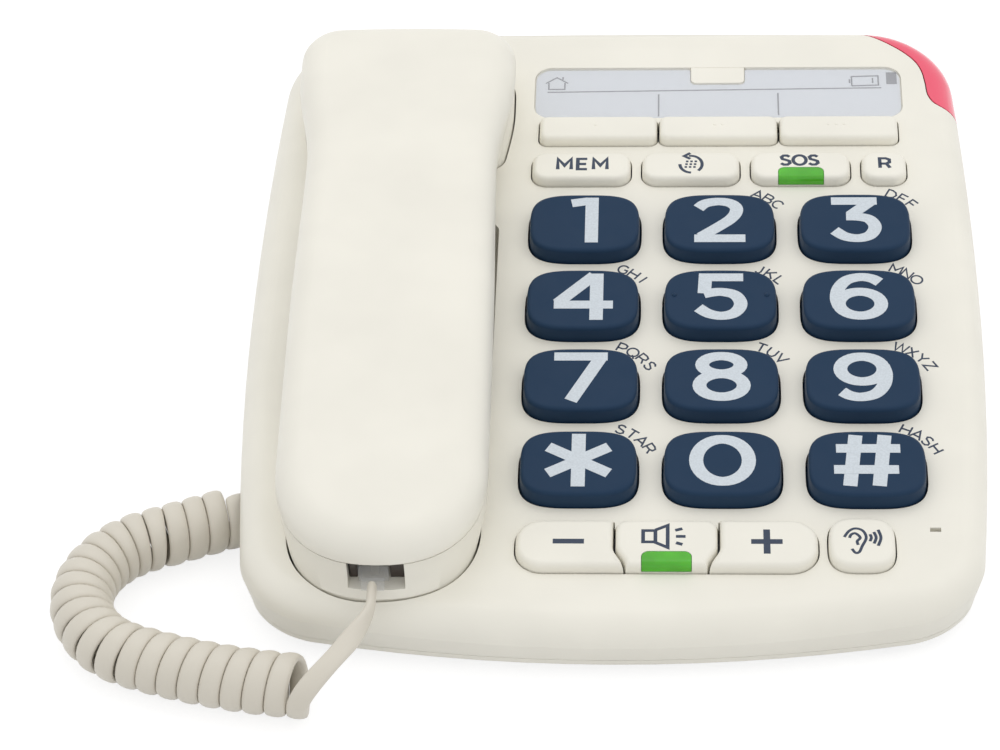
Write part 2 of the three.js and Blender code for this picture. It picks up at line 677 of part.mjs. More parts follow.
function smallKey(key) {
  const solid = smallKeySolid(key);
  return toGeometry(key.light ? solid.subtract(lightSlot(key.outline, CLEARANCE)) : solid);
}

const lightWindow = (key) => toGeometry(smallKeySolid(key).intersect(lightSlot(key.outline, 0)));

// Openings in the deck: one for each digit and function key, one for each joined group
function keyOpenings() {
  const through = (outline) => prism(offsetOutline(outline, -KEY_GAP), -DECK_THICKNESS - 2, KEY_HEIGHT);
  const digits = DIGIT_KEYS.map(({ x, s }) => through(moved(DIGIT_OUTLINE, x, s)));
  const small = SMALL_KEYS.map(({ outline }) => through(outline));
  return [...digits, ...small].map(onDeck);
}

// Ring light lens
function lensPrism(gap) {
  const corner = new THREE.Vector2(BASE_WIDTH / 2, BASE_DEPTH / 2);
  const points = LENS_EDGE.map(([x, s]) => new THREE.Vector2(corner.x - x - gap, corner.y - s - gap));
  const inner = new THREE.SplineCurve(points).getPoints(14).reverse();
  const side = corner.x + LENS_OVERHANG;
  const back = corner.y + LENS_OVERHANG;
  const shape = new THREE.Shape([
    ...inner,
    new THREE.Vector2(points[0].x, back),
    new THREE.Vector2(side, back),
    new THREE.Vector2(side, inner[0].y),
  ]);
  const depth = LENS_HEIGHT + gap + EDGE_RADIUS;
  const geometry = new THREE.ExtrudeGeometry(shape, { depth, bevelEnabled: false, steps: 1 });
  return onDeck(geometry.translate(0, 0, -LENS_HEIGHT - gap));
}

// Wells, channel and label pocket
const labelPocket = (inset, bottom, top, tab) => {
  const half = LABEL_WIDTH / 2 - inset;
  const outline = roundedRectangle(
    KEY_COLUMN_X - half,
    KEY_COLUMN_X + half,
    LABEL_FRONT_S + inset,
    LABEL_BACK_S - inset,
    LABEL_RADIUS,
    3,
  );
  const plate = toSolid(prism(outline, bottom, top));
  const notch = toSolid(box(
    KEY_COLUMN_X - LABEL_TAB_WIDTH / 2,
    KEY_COLUMN_X + LABEL_TAB_WIDTH / 2,
    LABEL_BACK_S - LABEL_TAB_DEPTH,
    LABEL_BACK_S + 1,
    bottom - 1,
    top + 1,
  ));
  return tab ? plate.subtract(notch) : plate;
};

const SLOT_BOTTOM = -CHANNEL_DEPTH - WALL;

function loudspeakerSlots() {
  return Array.from({ length: SLOT_COUNT }, (_, i) => {
    const s = LOUDSPEAKER_S + (i - (SLOT_COUNT - 1) / 2) * SLOT_PITCH;
    return onDeck(box(
      HANDSET_X - SLOT_LENGTH / 2,
      HANDSET_X + SLOT_LENGTH / 2,
      s - SLOT_WIDTH / 2,
      s + SLOT_WIDTH / 2,
      SLOT_BOTTOM - 1,
      -CHANNEL_DEPTH + 1,
    ));
  });
}

const leftBossX = HANDSET_X - LEFT_BOSS_OFFSET;
const rightBossX = BASE_WIDTH / 2 - BOSS_SIDE_INSET;
const rightBossY = BASE_DEPTH / 2 - BOSS_END_INSET;
const BOSSES = [
  [leftBossX, Math.cos(DECK_TILT) * (MOUTH_CUP_BACK_S + CHANNEL_FRONT_S) / 2],
  [leftBossX, Math.cos(DECK_TILT) * (EAR_CUP_FRONT_S + CHANNEL_BACK_S) / 2],
  [rightBossX, -rightBossY],
  [rightBossX, rightBossY],
];
const POSTS = [-0.5, 0.5].flatMap((column) => [0.5, 2.5].map((row) => [
  KEY_COLUMN_X + column * KEY_COLUMN_PITCH,
  KEY_TOP_ROW_S - row * KEY_ROW_PITCH,
]));

const cylinder = (x, y, radius, z0, z1, count = 16) => toSolid(prism(circle(radius, count, x, y), z0, z1));

// Jack bay in the left wall, and the jack's own hole through the bay's inner wall
const BAY_FACE = -BASE_WIDTH / 2 + BAY_DEPTH;
const bay = (grow) => toSolid(box(
  -BASE_WIDTH / 2 - BAY_OVERHANG,
  BAY_FACE + grow,
  BAY_Y - BAY_WIDTH / 2 - grow,
  BAY_Y + BAY_WIDTH / 2 + grow,
  -1,
  BAY_TOP + grow,
));
const jackHole = (gap) => toSolid(box(
  BAY_FACE - 2,
  BAY_FACE + JACK_LENGTH + gap,
  BAY_Y - JACK_WIDTH / 2 - gap,
  BAY_Y + JACK_WIDTH / 2 + gap,
  BASE_JACK_Z - JACK_HEIGHT / 2 - gap,
  BASE_JACK_Z + JACK_HEIGHT / 2 + gap,
));

const BACK_FACE = BASE_DEPTH / 2 - SIDE_TUCK;
const lineJackHole = (gap) => toSolid(box(
  LINE_JACK_X - LINE_JACK_WIDTH / 2 - gap,
  LINE_JACK_X + LINE_JACK_WIDTH / 2 + gap,
  BACK_FACE - LINE_SOCKET_DEPTH - 4,
  BACK_FACE + 10,
  LINE_JACK_Z - LINE_JACK_HEIGHT / 2 - gap,
  LINE_JACK_Z + LINE_JACK_HEIGHT / 2 + gap,
));

function upperHousing() {
  const block = baseBlock();
  const blocks = union([
    onDeck(wellBlock(EAR_CUP_OUTLINE, EAR_CUP_DEPTH)),
    onDeck(wellBlock(MOUTH_CUP_OUTLINE, MOUTH_CUP_DEPTH)),
    onDeck(stack(CHANNEL_OUTLINE, [[-WALL + CHANNEL_DRAFT, SLOT_BOTTOM], [-WALL, 0]])),
    ...BOSSES.map(([x, y]) => cylinder(x, y, BOSS_RADIUS, PART_LINE + CLEARANCE, deckZ(y))),
    ...POSTS.map(([x, s]) => onDeck(prism(circle(POST_RADIUS, 10, x, s), BOARD_TOP + CLEARANCE, 0))),
    bay(WALL),
  ]);
  const cavity = baseCavity().subtract(blocks);
  const micSlot = box(
    MICROPHONE_X - MICROPHONE_SLOT_WIDTH / 2,
    MICROPHONE_X + MICROPHONE_SLOT_WIDTH / 2,
    MICROPHONE_S - MICROPHONE_SLOT_DEPTH / 2,
    MICROPHONE_S + MICROPHONE_SLOT_DEPTH / 2,
    -DECK_THICKNESS - 1,
    1,
  );
  return cut(block, [
    cavity,
    onDeck(well(EAR_CUP_OUTLINE, EAR_CUP_DEPTH)),
    onDeck(well(MOUTH_CUP_OUTLINE, MOUTH_CUP_DEPTH)),
    onDeck(stack(CHANNEL_OUTLINE, [[CHANNEL_DRAFT, -CHANNEL_DEPTH], [0, 0], [0, EDGE_RADIUS]])),
    ...loudspeakerSlots(),
    onDeck(prism(circle(PLUNGER_RADIUS + CLEARANCE, 16, HANDSET_X, PLUNGER_S),
      -EAR_CUP_DEPTH - 2 * WALL, -EAR_CUP_DEPTH + 1)),
    ...keyOpenings(),
    onDeckSolid(labelPocket(0, -LABEL_POCKET_DEPTH, EDGE_RADIUS, false)),
    onDeck(micSlot),
    lensPrism(CLEARANCE),
    bay(0),
    jackHole(CLEARANCE),
    lineJackHole(CLEARANCE),
    ...BOSSES.map(([x, y]) => cylinder(x, y, SCREW_RADIUS + CLEARANCE, 0, PART_LINE + SCREW_LENGTH, 10)),
  ]);
}

function onDeckSolid(solid) {
  return onDeck(toGeometry(solid));
}

const ringLightLens = () => baseBlock().subtract(baseCavity()).intersect(lensPrism(0));

// Lower housing: the floor plate with its rim, screw holes, foot recesses and battery box
const BATTERY_HALF_WIDTH = CELL_PITCH * CELL_COUNT / 2 + COMPARTMENT_WALL;
const BATTERY_HALF_LENGTH = CELL_LENGTH / 2 + 1 + COMPARTMENT_WALL;
const BATTERY_TOP = PART_LINE + 2 * CELL_RADIUS + 2 * CLEARANCE + COMPARTMENT_WALL;
const batteryBox = (grow, bottom, top) => toSolid(box(
  BATTERY_X - BATTERY_HALF_WIDTH - grow,
  BATTERY_X + BATTERY_HALF_WIDTH + grow,
  BATTERY_Y - BATTERY_HALF_LENGTH - grow,
  BATTERY_Y + BATTERY_HALF_LENGTH + grow,
  bottom,
  top,
));
const DOOR_LEDGE = 2;
const DOOR_THICKNESS = FLOOR_THICKNESS / 2;

const footX = BASE_WIDTH / 2 - FOOT_SIDE_INSET;
const footFrontY = FOOT_FRONT_INSET - BASE_DEPTH / 2;
const footBackY = BASE_DEPTH / 2 - FOOT_BACK_INSET;
const FEET = [
  ['foot_front_left', -footX, footFrontY],
  ['foot_front_right', footX, footFrontY],
  ['foot_back_left', -footX, footBackY],
  ['foot_back_right', footX, footBackY],
];

function lowerHousing() {
  const plate = toSolid(loft([
    baseRing(SIDE_TUCK + 1.2, () => FOOT_HEIGHT),
    baseRing(SIDE_TUCK, () => FOOT_HEIGHT + 1.2),
    baseRing(SIDE_TUCK, () => PART_LINE),
  ]));
  const rimInset = SIDE_TUCK + WALL + CLEARANCE;
  const rim = toSolid(loft([
    baseRing(rimInset, () => PART_LINE - 1),
    baseRing(rimInset, () => PART_LINE + 3),
  ])).subtract(toSolid(loft([
    baseRing(rimInset + 1.6, () => PART_LINE - 2),
    baseRing(rimInset + 1.6, () => PART_LINE + 4),
  ])));
  const housing = union([plate, rim, batteryBox(0, FOOT_HEIGHT, BATTERY_TOP)]);
  const lineJack = lineJackHole(CLEARANCE);
  return cut(housing, [
    batteryBox(-COMPARTMENT_WALL, 0, BATTERY_TOP - COMPARTMENT_WALL),
    batteryBox(DOOR_LEDGE, 0, FOOT_HEIGHT + DOOR_THICKNESS + CLEARANCE),
    bay(WALL + CLEARANCE),
    lineJack,
    ...BOSSES.map(([x, y]) => cylinder(x, y, BOSS_RADIUS + CLEARANCE, PART_LINE, PART_LINE + 6)),
    ...BOSSES.map(([x, y]) => cylinder(x, y, SCREW_RADIUS + CLEARANCE, 0, PART_LINE + 6, 10)),
    ...BOSSES.map(([x, y]) =>
      cylinder(x, y, SCREW_HEAD_RADIUS + CLEARANCE, 0, FOOT_HEIGHT + SCREW_HEAD_HEIGHT, 14)),
    ...FEET.map(([, x, y]) => cylinder(x, y, FOOT_RADIUS + CLEARANCE, 0, FOOT_HEIGHT + FOOT_RECESS)),
  ]);
}

// The battery door, with a grip for a finger at its front
function batteryDoor() {
  const gripFront = BATTERY_Y - BATTERY_HALF_LENGTH + DOOR_GRIP_LENGTH;
  const grip = toSolid(box(
    BATTERY_X - DOOR_GRIP_WIDTH / 2,
    BATTERY_X + DOOR_GRIP_WIDTH / 2,
    gripFront,
    gripFront + DOOR_GRIP_LENGTH,
    0,
    FOOT_HEIGHT + DOOR_GRIP_DEPTH,
  ));
  return batteryBox(DOOR_LEDGE - CLEARANCE, FOOT_HEIGHT, FOOT_HEIGHT + DOOR_THICKNESS).subtract(grip);
}

function screwGeometry() {
  const headTop = SCREW_HEAD_HEIGHT - CLEARANCE;
  const profile = [
    [0, 0],
    [SCREW_HEAD_RADIUS - 0.5, 0],
    [SCREW_HEAD_RADIUS, 0.5],
    [SCREW_HEAD_RADIUS, headTop],
    [SCREW_RADIUS, headTop],
    [SCREW_RADIUS, SCREW_LENGTH - 1],
    [0, SCREW_LENGTH],
  ];
  return latheUp(profile, 8);
}

// A turned solid about the Z axis from [radius, height] pairs
function latheUp(profile, segments) {
  const points = profile.map(([r, z]) => new THREE.Vector2(r, z));
  return new THREE.LatheGeometry(points, segments).rotateX(Math.PI / 2);
}

const footGeometry = () => latheUp([
  [0, 0],
  [FOOT_RADIUS - 1, 0],
  [FOOT_RADIUS, 1],
  [FOOT_RADIUS, FOOT_HEIGHT + FOOT_RECESS - CLEARANCE],
  [0, FOOT_HEIGHT + FOOT_RECESS - CLEARANCE],
], 12);

// Handset shells
function outerShell() {
  return toSolid(handsetBack(SEAM_HEIGHT + CLEARANCE / 2, 0))
    .subtract(toSolid(handsetBack(SEAM_HEIGHT - 4, HANDSET_WALL)));
}

// The opening in the front of the handset, in front of the jack
const handsetMouth = () => toSolid(box(
  HANDSET_X - HANDSET_MOUTH_WIDTH / 2,
  HANDSET_X + HANDSET_MOUTH_WIDTH / 2,
  HANDSET_FRONT_S - 5,
  HANDSET_FRONT_S + HANDSET_WALL + 2,
  HANDSET_MOUTH_BOTTOM,
  SEAM_HEIGHT + 1,
));
const HANDSET_JACK_FACE = HANDSET_FRONT_S + HANDSET_WALL + 2;
const EAR_CUP_MIDDLE_S = (EAR_CUP_FRONT_S + HANDSET_BACK_S) / 2;
const MOUTH_CUP_MIDDLE_S = (HANDSET_FRONT_S + MOUTH_CUP_BACK_S) / 2;

// Sound slots across the floor of a cup
const cupSlots = (count, length, middle, depth) => Array.from({ length: count }, (_, i) => {
  const s = middle + (i - (count - 1) / 2) * CUP_SLOT_PITCH;
  return toSolid(box(
    HANDSET_X - length / 2,
    HANDSET_X + length / 2,
    s - CUP_SLOT_WIDTH / 2,
    s + CUP_SLOT_WIDTH / 2,
    -depth - 1,
    -depth + HANDSET_WALL + 1,
  ));
});

function innerShell() {
  const top = SEAM_HEIGHT - CLEARANCE / 2;
  const solid = union([
    toSolid(stack(HANDSET_OUTLINE, [
      [3, HANDLE_UNDERSIDE],
      [1.4, HANDLE_UNDERSIDE + 1.6],
      [CLEARANCE, top],
    ])),
    toSolid(cup(EAR_CUP_OUTLINE, EAR_CUP_DEPTH, 0, top)),
    toSolid(cup(MOUTH_CUP_OUTLINE, MOUTH_CUP_DEPTH, 0, top)),
  ]);
  const hollow = union([
    toSolid(stack(HANDSET_OUTLINE, [
      [3 + HANDSET_WALL, HANDLE_UNDERSIDE + HANDSET_WALL],
      [HANDSET_WALL + 0.8, HANDLE_UNDERSIDE + HANDSET_WALL + 2],
      [HANDSET_WALL + 0.8, SEAM_HEIGHT + 1],
    ])),
    toSolid(cup(EAR_CUP_OUTLINE, EAR_CUP_DEPTH - HANDSET_WALL, HANDSET_WALL, SEAM_HEIGHT + 1)),
    toSolid(cup(MOUTH_CUP_OUTLINE, MOUTH_CUP_DEPTH - HANDSET_WALL, HANDSET_WALL, SEAM_HEIGHT + 1)),
  ]);
  return cut(solid, [
    hollow,
    handsetMouth(),
    ...cupSlots(EAR_SLOT_COUNT, EAR_SLOT_LENGTH, EAR_CUP_MIDDLE_S, EAR_CUP_DEPTH),
    ...cupSlots(1, MOUTH_SLOT_LENGTH, MOUTH_CUP_MIDDLE_S, MOUTH_CUP_DEPTH),
  ]);
}

// A modular jack, open towards -Y, about the middle of its socket's mouth
function jack(width, height, length, socketWidth, socketHeight, socketDepth) {
  const body = toSolid(box(-width / 2, width / 2, 0, length, -height / 2, height / 2));
  const socket = toSolid(box(
    -socketWidth / 2,
    socketWidth / 2,
    -1,
    socketDepth,
    -socketHeight / 2,
    socketHeight / 2,
  ));
  const keyway = toSolid(box(
    -socketWidth / 4,
    socketWidth / 4,
    -1,
    socketDepth,
    -socketHeight / 2 - PLUG_LATCH,
    0,
  ));
  return body.subtract(socket).subtract(keyway);
}

const cordJack = (length) => toGeometry(jack(JACK_WIDTH, JACK_HEIGHT, length,
  PLUG_WIDTH + 2 * CLEARANCE, PLUG_HEIGHT + 2 * CLEARANCE, PLUG_LENGTH + CLEARANCE));

// A modular plug that reaches into a jack along +Y, with the boot that grips the flat cord
function plug(bootLength) {
  return toGeometry(union([
    toSolid(box(-PLUG_WIDTH / 2, PLUG_WIDTH / 2, -PLUG_TAIL, PLUG_LENGTH, -PLUG_HEIGHT / 2, PLUG_HEIGHT / 2)),
    toSolid(box(-PLUG_WIDTH / 7, PLUG_WIDTH / 7, CLEARANCE, PLUG_LENGTH - 3, -PLUG_HEIGHT / 2 - PLUG_LATCH, 0)),
    toSolid(box(
      -STRAND_WIDTH / 2 - 0.4,
      STRAND_WIDTH / 2 + 0.4,
      -bootLength,
      0,
      -STRAND_THICKNESS / 2 - 0.4,
      STRAND_THICKNESS / 2 + 0.4,
    )),
  ]));
}

// Curly cord
const coilRadius = (COIL_DIAMETER - STRAND_THICKNESS) / 2;

// Route points with their tangent, their right-hand side and how hard they bend towards it
function routeFrames() {
  const point = new THREE.Vector3(...ROUTE_START, ROUTE_Z);
  const frames = [];
  let heading = ROUTE_HEADING;
  ROUTE_STRETCHES.forEach(({ length, turn }) => {
    const steps = Math.round(length / ROUTE_STEP);
    for (let i = 0; i < steps; i += 1) {
      const tangent = new THREE.Vector3(Math.cos(heading), Math.sin(heading), 0);
      const side = new THREE.Vector3(tangent.y, -tangent.x, 0);
      frames.push({ point: point.clone(), tangent, side, bend: turn / length });
      heading -= turn / steps;
      point.addScaledVector(tangent, length / steps);
    }
  });
  return frames;
}

// Centre points of the strand through the curls, each with its width direction and local width
function curlPoints(frames) {
  const hardest = Math.max(...frames.map((frame) => frame.bend));
  const angles = [FIRST_CURL_ANGLE];
  frames.forEach(({ bend }, i) => {
    const pitch = THREE.MathUtils.lerp(CURL_PITCH, BEND_PITCH, bend / hardest);
    angles.push(angles[i] + 2 * Math.PI * ROUTE_STEP / pitch);
  });
  const turns = (angles[angles.length - 1] - FIRST_CURL_ANGLE) / (2 * Math.PI);
  const points = [];
  let at = 0;
  for (let i = 0; i < Math.floor(turns * CURL_STEPS); i += 1) {
    const angle = FIRST_CURL_ANGLE + 2 * Math.PI * i / CURL_STEPS;
    while (angles[at + 1] <= angle) {
      at += 1;
    }
    const { point, tangent, side } = frames[at];
    const share = (angle - angles[at]) / (angles[at + 1] - angles[at]);
    const centre = point.clone().addScaledVector(tangent, share * ROUTE_STEP);
    const outward = side.clone().multiplyScalar(Math.cos(angle));
    outward.z = Math.sin(angle);
    points.push({ point: centre.addScaledVector(outward, coilRadius), across: tangent });
  }
  return points.map((station, i) => {
    const beside = [points[i - CURL_STEPS], points[i + CURL_STEPS]].filter(Boolean);
    const room = Math.min(...beside.map((other) => other.point.distanceTo(station.point)));
    return { ...station, width: Math.min(STRAND_WIDTH, room - CURL_GAP) };
  });
}

// A free end of the strand from a curl to a plug, as a cubic curve
function tailPoints(from, heading, to, direction, across, reach, steps) {
  const curve = new THREE.CubicBezierCurve3(
    from.point,
    from.point.clone().addScaledVector(heading, reach[0]),
    to.clone().addScaledVector(direction, -reach[1]),
    to,
  );
  return Array.from({ length: steps }, (_, i) => {
    const t = (i + 1) / steps;
    return {
      point: curve.getPoint(t),
      across: from.across.clone().lerp(across, smooth(t)).normalize(),
      width: THREE.MathUtils.lerp(from.width, STRAND_WIDTH, t),
    };
  });
}

const deckPoint = (x, s, h) => new THREE.Vector3(x, s, h).applyMatrix4(deckMatrix);
const handsetPlugFace = deckPoint(HANDSET_X, HANDSET_FRONT_S - CORD_STANDOFF, HANDSET_JACK_HEIGHT);
const intoHandset = new THREE.Vector3(0, 1, 0).applyAxisAngle(new THREE.Vector3(1, 0, 0), DECK_TILT);
const basePlugFace = new THREE.Vector3(BAY_FACE - PLUG_BOOT, BAY_Y, BASE_JACK_Z);

function cordCentreline() {
  const curls = curlPoints(routeFrames());
  const last = curls.length - 1;
  const startHeading = curls[0].point.clone().sub(curls[1].point).normalize();
  const endHeading = curls[last].point.clone().sub(curls[last - 1].point).normalize();
  const right = new THREE.Vector3(1, 0, 0);
  const handsetEnd = handsetPlugFace.clone().addScaledVector(intoHandset, -CLEARANCE);
  const handsetStraight = handsetEnd.clone().addScaledVector(intoHandset, -STRAND_WIDTH);
  const first = tailPoints(curls[0], startHeading, handsetStraight, intoHandset, right, [14, 10], 9);
  first.push({ point: handsetEnd, across: right, width: STRAND_WIDTH });
  const back = new THREE.Vector3(0, 1, 0);
  const baseEnd = basePlugFace.clone().add(new THREE.Vector3(-CLEARANCE, 0, 0));
  const baseStraight = baseEnd.clone().add(new THREE.Vector3(-STRAND_WIDTH / 2, 0, 0));
  const second = tailPoints(curls[last], endHeading, baseStraight, right, back, [5, 3], 5);
  second.push({ point: baseEnd, across: back, width: STRAND_WIDTH });
  return [...first.reverse(), ...curls, ...second];
}

// The strand's section is a flat five-sided dome, its flat side towards the coil's axis
function strandGeometry(centreline) {
  const rings = centreline.map((station, i) => {
    const before = centreline[Math.max(0, i - 1)].point;
    const after = centreline[Math.min(centreline.length - 1, i + 1)].point;
    const heading = after.clone().sub(before).normalize();
    const across = station.across.clone().addScaledVector(heading, -station.across.dot(heading)).normalize();
    const up = across.clone().cross(heading).normalize();
    const half = station.width / 2;
    const high = STRAND_THICKNESS / 2;
    const section = [[-half, -high], [-half, high * 0.35], [0, high], [half, high * 0.35], [half, -high]];
    return section.map(([w, t]) => station.point.clone().addScaledVector(across, w).addScaledVector(up, t));
  });
  return loft(rings);
}

// Smallest distance between strand points a turn or more apart, less the strand's own width
function leastCurlGap(centreline) {
  let least = Infinity;
  for (let i = 0; i < centreline.length; i += 1) {
    for (let j = i + CURL_STEPS - 2; j < centreline.length; j += 1) {
      const apart = centreline[j].point.clone().sub(centreline[i].point);
      const along = Math.abs(apart.dot(centreline[i].across));
      const radial = Math.sqrt(Math.max(0, apart.lengthSq() - along * along));
      const sideGap = along - (centreline[i].width + centreline[j].width) / 2;
      const gap = Math.hypot(Math.max(0, sideGap), Math.max(0, radial - STRAND_THICKNESS));
      least = Math.min(least, gap);
    }
  }
  return least;
}

// Assembly
const telephone = new THREE.Group();
const deck = new THREE.Group();
deck.position.z = DECK_HEIGHT;
deck.rotation.x = DECK_TILT;
telephone.add(deck);

function addMesh(parent, name, geometry, material, x = 0, y = 0, z = 0) {
  const mesh = new THREE.Mesh(geometry, material);
  mesh.name = name;
  mesh.position.set(x, y, z);
  parent.add(mesh);
  return mesh;
}

addMesh(telephone, 'upper_housing', toGeometry(upperHousing()), IVORY);
addMesh(telephone, 'lower_housing', toGeometry(lowerHousing()), IVORY);
addMesh(telephone, 'ring_light_lens', toGeometry(ringLightLens()), RED);

const cardBottom = -LABEL_POCKET_DEPTH + CLEARANCE;
const coverBottom = cardBottom + LABEL_CARD_THICKNESS + CLEARANCE;
addMesh(deck, 'label_card',
  toGeometry(labelPocket(1, cardBottom, cardBottom + LABEL_CARD_THICKNESS, true)), CARD);
addMesh(deck, 'label_cover',
  toGeometry(labelPocket(CLEARANCE, coverBottom, coverBottom + LABEL_COVER_THICKNESS, false)), CLEAR);

DIGIT_KEYS.forEach(({ name, x, s }) => addMesh(deck, name, digitGeometry, NAVY, x, s));
SMALL_KEYS.forEach((key) => {
  addMesh(deck, key.name, smallKey(key), IVORY);
  if (key.light) {
    addMesh(deck, key.light, lightWindow(key), GREEN);
  }
});

const fieldLeft = KEY_COLUMN_X - FUNCTION_ROW_REACH - 1.5;
const fieldRight = KEY_COLUMN_X + KEY_COLUMN_PITCH + KEY_WIDTH / 2 + 1.5;
const fieldFront = LOWER_ROW_S - LOWER_ROW_DEPTH / 2 - 1.5;
const fieldBack = MEMORY_ROW_S + MEMORY_ROW_DEPTH / 2 + 1.5;
const fieldOutline = roundedRectangle(fieldLeft, fieldRight, fieldFront, fieldBack, 3, 2);
const mat = cut(toSolid(prism(fieldOutline, MAT_TOP - MAT_THICKNESS, MAT_TOP)),
  POSTS.map(([x, s]) => toSolid(prism(circle(POST_RADIUS + CLEARANCE, 10, x, s), MAT_TOP - 5, MAT_TOP + 5))));
addMesh(deck, 'keypad_mat', toGeometry(mat), SILICONE);
addMesh(deck, 'main_circuit_board', prism(fieldOutline, BOARD_TOP - BOARD_THICKNESS, BOARD_TOP), BOARD);

addMesh(deck, 'loudspeaker', latheUp([
  [0, -LOUDSPEAKER_DEPTH],
  [LOUDSPEAKER_RADIUS * 0.45, -LOUDSPEAKER_DEPTH],
  [LOUDSPEAKER_RADIUS * 0.45, -LOUDSPEAKER_DEPTH * 0.5],
  [LOUDSPEAKER_RADIUS, -LOUDSPEAKER_DEPTH * 0.2],
  [LOUDSPEAKER_RADIUS, 0],
  [LOUDSPEAKER_RADIUS - 2, 0],
  [0, -LOUDSPEAKER_DEPTH * 0.25],
], 18), DARK, HANDSET_X, LOUDSPEAKER_S, SLOT_BOTTOM - CLEARANCE);
addMesh(deck, 'speakerphone_microphone', prism(circle(MICROPHONE_RADIUS, 14), -MICROPHONE_DEPTH, 0), STEEL,
  MICROPHONE_X, MICROPHONE_S, -DECK_THICKNESS - CLEARANCE);

addMesh(deck, 'hook_switch', latheUp([
  [0, -PLUNGER_RISE - 2 * WALL],
  [PLUNGER_RADIUS + PLUNGER_FLANGE, -PLUNGER_RISE - 2 * WALL],
  [PLUNGER_RADIUS + PLUNGER_FLANGE, -PLUNGER_RISE - WALL - CLEARANCE],
  [PLUNGER_RADIUS, -PLUNGER_RISE - WALL - CLEARANCE],
  [PLUNGER_RADIUS, -1],
  [PLUNGER_RADIUS - 1, 0],
  [0, 0],
], 16), IVORY, HANDSET_X, PLUNGER_S, -EAR_CUP_DEPTH - CLEARANCE);

const leftSide = new THREE.Group();
leftSide.position.set(BAY_FACE, BAY_Y, BASE_JACK_Z);
leftSide.rotation.z = -Math.PI / 2;
telephone.add(leftSide);
addMesh(leftSide, 'handset_jack_base', cordJack(JACK_LENGTH), DARK);
addMesh(leftSide, 'cord_plug_base', plug(PLUG_BOOT), CLEAR);

const lineJack = jack(LINE_JACK_WIDTH, LINE_JACK_HEIGHT, LINE_SOCKET_DEPTH + 3,
  LINE_SOCKET_WIDTH, LINE_SOCKET_HEIGHT, LINE_SOCKET_DEPTH);
const backSide = new THREE.Group();
backSide.position.set(LINE_JACK_X, BACK_FACE, LINE_JACK_Z);
backSide.rotation.z = Math.PI;
telephone.add(backSide);
addMesh(backSide, 'line_jack', toGeometry(lineJack), DARK);

FEET.forEach(([name, x, y]) => addMesh(telephone, name, footGeometry(), RUBBER, x, y));
BOSSES.forEach(([x, y], i) =>
  addMesh(telephone, `housing_screw_${i + 1}`, screwGeometry(), STEEL, x, y, FOOT_HEIGHT));

addMesh(telephone, 'battery_door', toGeometry(batteryDoor()), IVORY);
for (let i = 0; i < CELL_COUNT; i += 1) {
  const x = BATTERY_X + (i - (CELL_COUNT - 1) / 2) * CELL_PITCH;
  const cell = latheUp([
    [0, 0],
    [CELL_RADIUS, 0],
    [CELL_RADIUS, CELL_LENGTH - 1],
    [CELL_RADIUS * 0.36, CELL_LENGTH - 1],
    [CELL_RADIUS * 0.36, CELL_LENGTH],
    [0, CELL_LENGTH],
  ], 10).rotateX(Math.PI / 2).translate(0, CELL_LENGTH / 2, 0);
  addMesh(telephone, `battery_cell_${i + 1}`, cell, CELL, x, BATTERY_Y,
    FOOT_HEIGHT + DOOR_THICKNESS + CLEARANCE + CELL_RADIUS);
}

// Handset
addMesh(deck, 'handset_outer_shell', toGeometry(outerShell()), IVORY);
addMesh(deck, 'handset_inner_shell', toGeometry(innerShell()), IVORY);
addMesh(deck, 'handset_jack', cordJack(HANDSET_JACK_LENGTH), DARK,
  HANDSET_X, HANDSET_JACK_FACE, HANDSET_JACK_HEIGHT);
addMesh(deck, 'cord_plug_handset', plug(HANDSET_JACK_FACE - HANDSET_FRONT_S + CORD_STANDOFF), CLEAR,
  HANDSET_X, HANDSET_JACK_FACE, HANDSET_JACK_HEIGHT);
addMesh(deck, 'receiver_capsule', prism(circle(RECEIVER_RADIUS, 20), 0, RECEIVER_DEPTH), DARK,
  HANDSET_X, EAR_CUP_MIDDLE_S, HANDSET_WALL + CLEARANCE - EAR_CUP_DEPTH);
addMesh(deck, 'handset_microphone', prism(circle(CAPSULE_RADIUS, 12), 0, CAPSULE_DEPTH), STEEL,
  HANDSET_X, MOUTH_CUP_MIDDLE_S, HANDSET_WALL + CLEARANCE - MOUTH_CUP_DEPTH);
addMesh(deck, 'handset_weight', box(-WEIGHT_WIDTH / 2, WEIGHT_WIDTH / 2, -WEIGHT_LENGTH / 2, WEIGHT_LENGTH / 2,
  0, WEIGHT_THICKNESS), STEEL, HANDSET_X, 0, HANDLE_UNDERSIDE + HANDSET_WALL + CLEARANCE);

const centreline = cordCentreline();
addMesh(telephone, 'curly_cord', strandGeometry(centreline), CORD);
console.log(`curly cord: ${centreline.length} stations, least gap to itself ${leastCurlGap(centreline).toFixed(2)} mm`);

export default telephone;
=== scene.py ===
"""Corded desk telephone with large keys, dressed around its CAD model.

Lengths in the tables are millimetres. Deck coordinates are x across the telephone, s up the slope
of its deck and h out of the deck. Every finished piece lies in the row frame, in metres.
"""
import math
from contextlib import contextmanager

import bmesh
import bpy
from bpy.props import FloatProperty, FloatVectorProperty, PointerProperty
from mathutils import Matrix, Vector


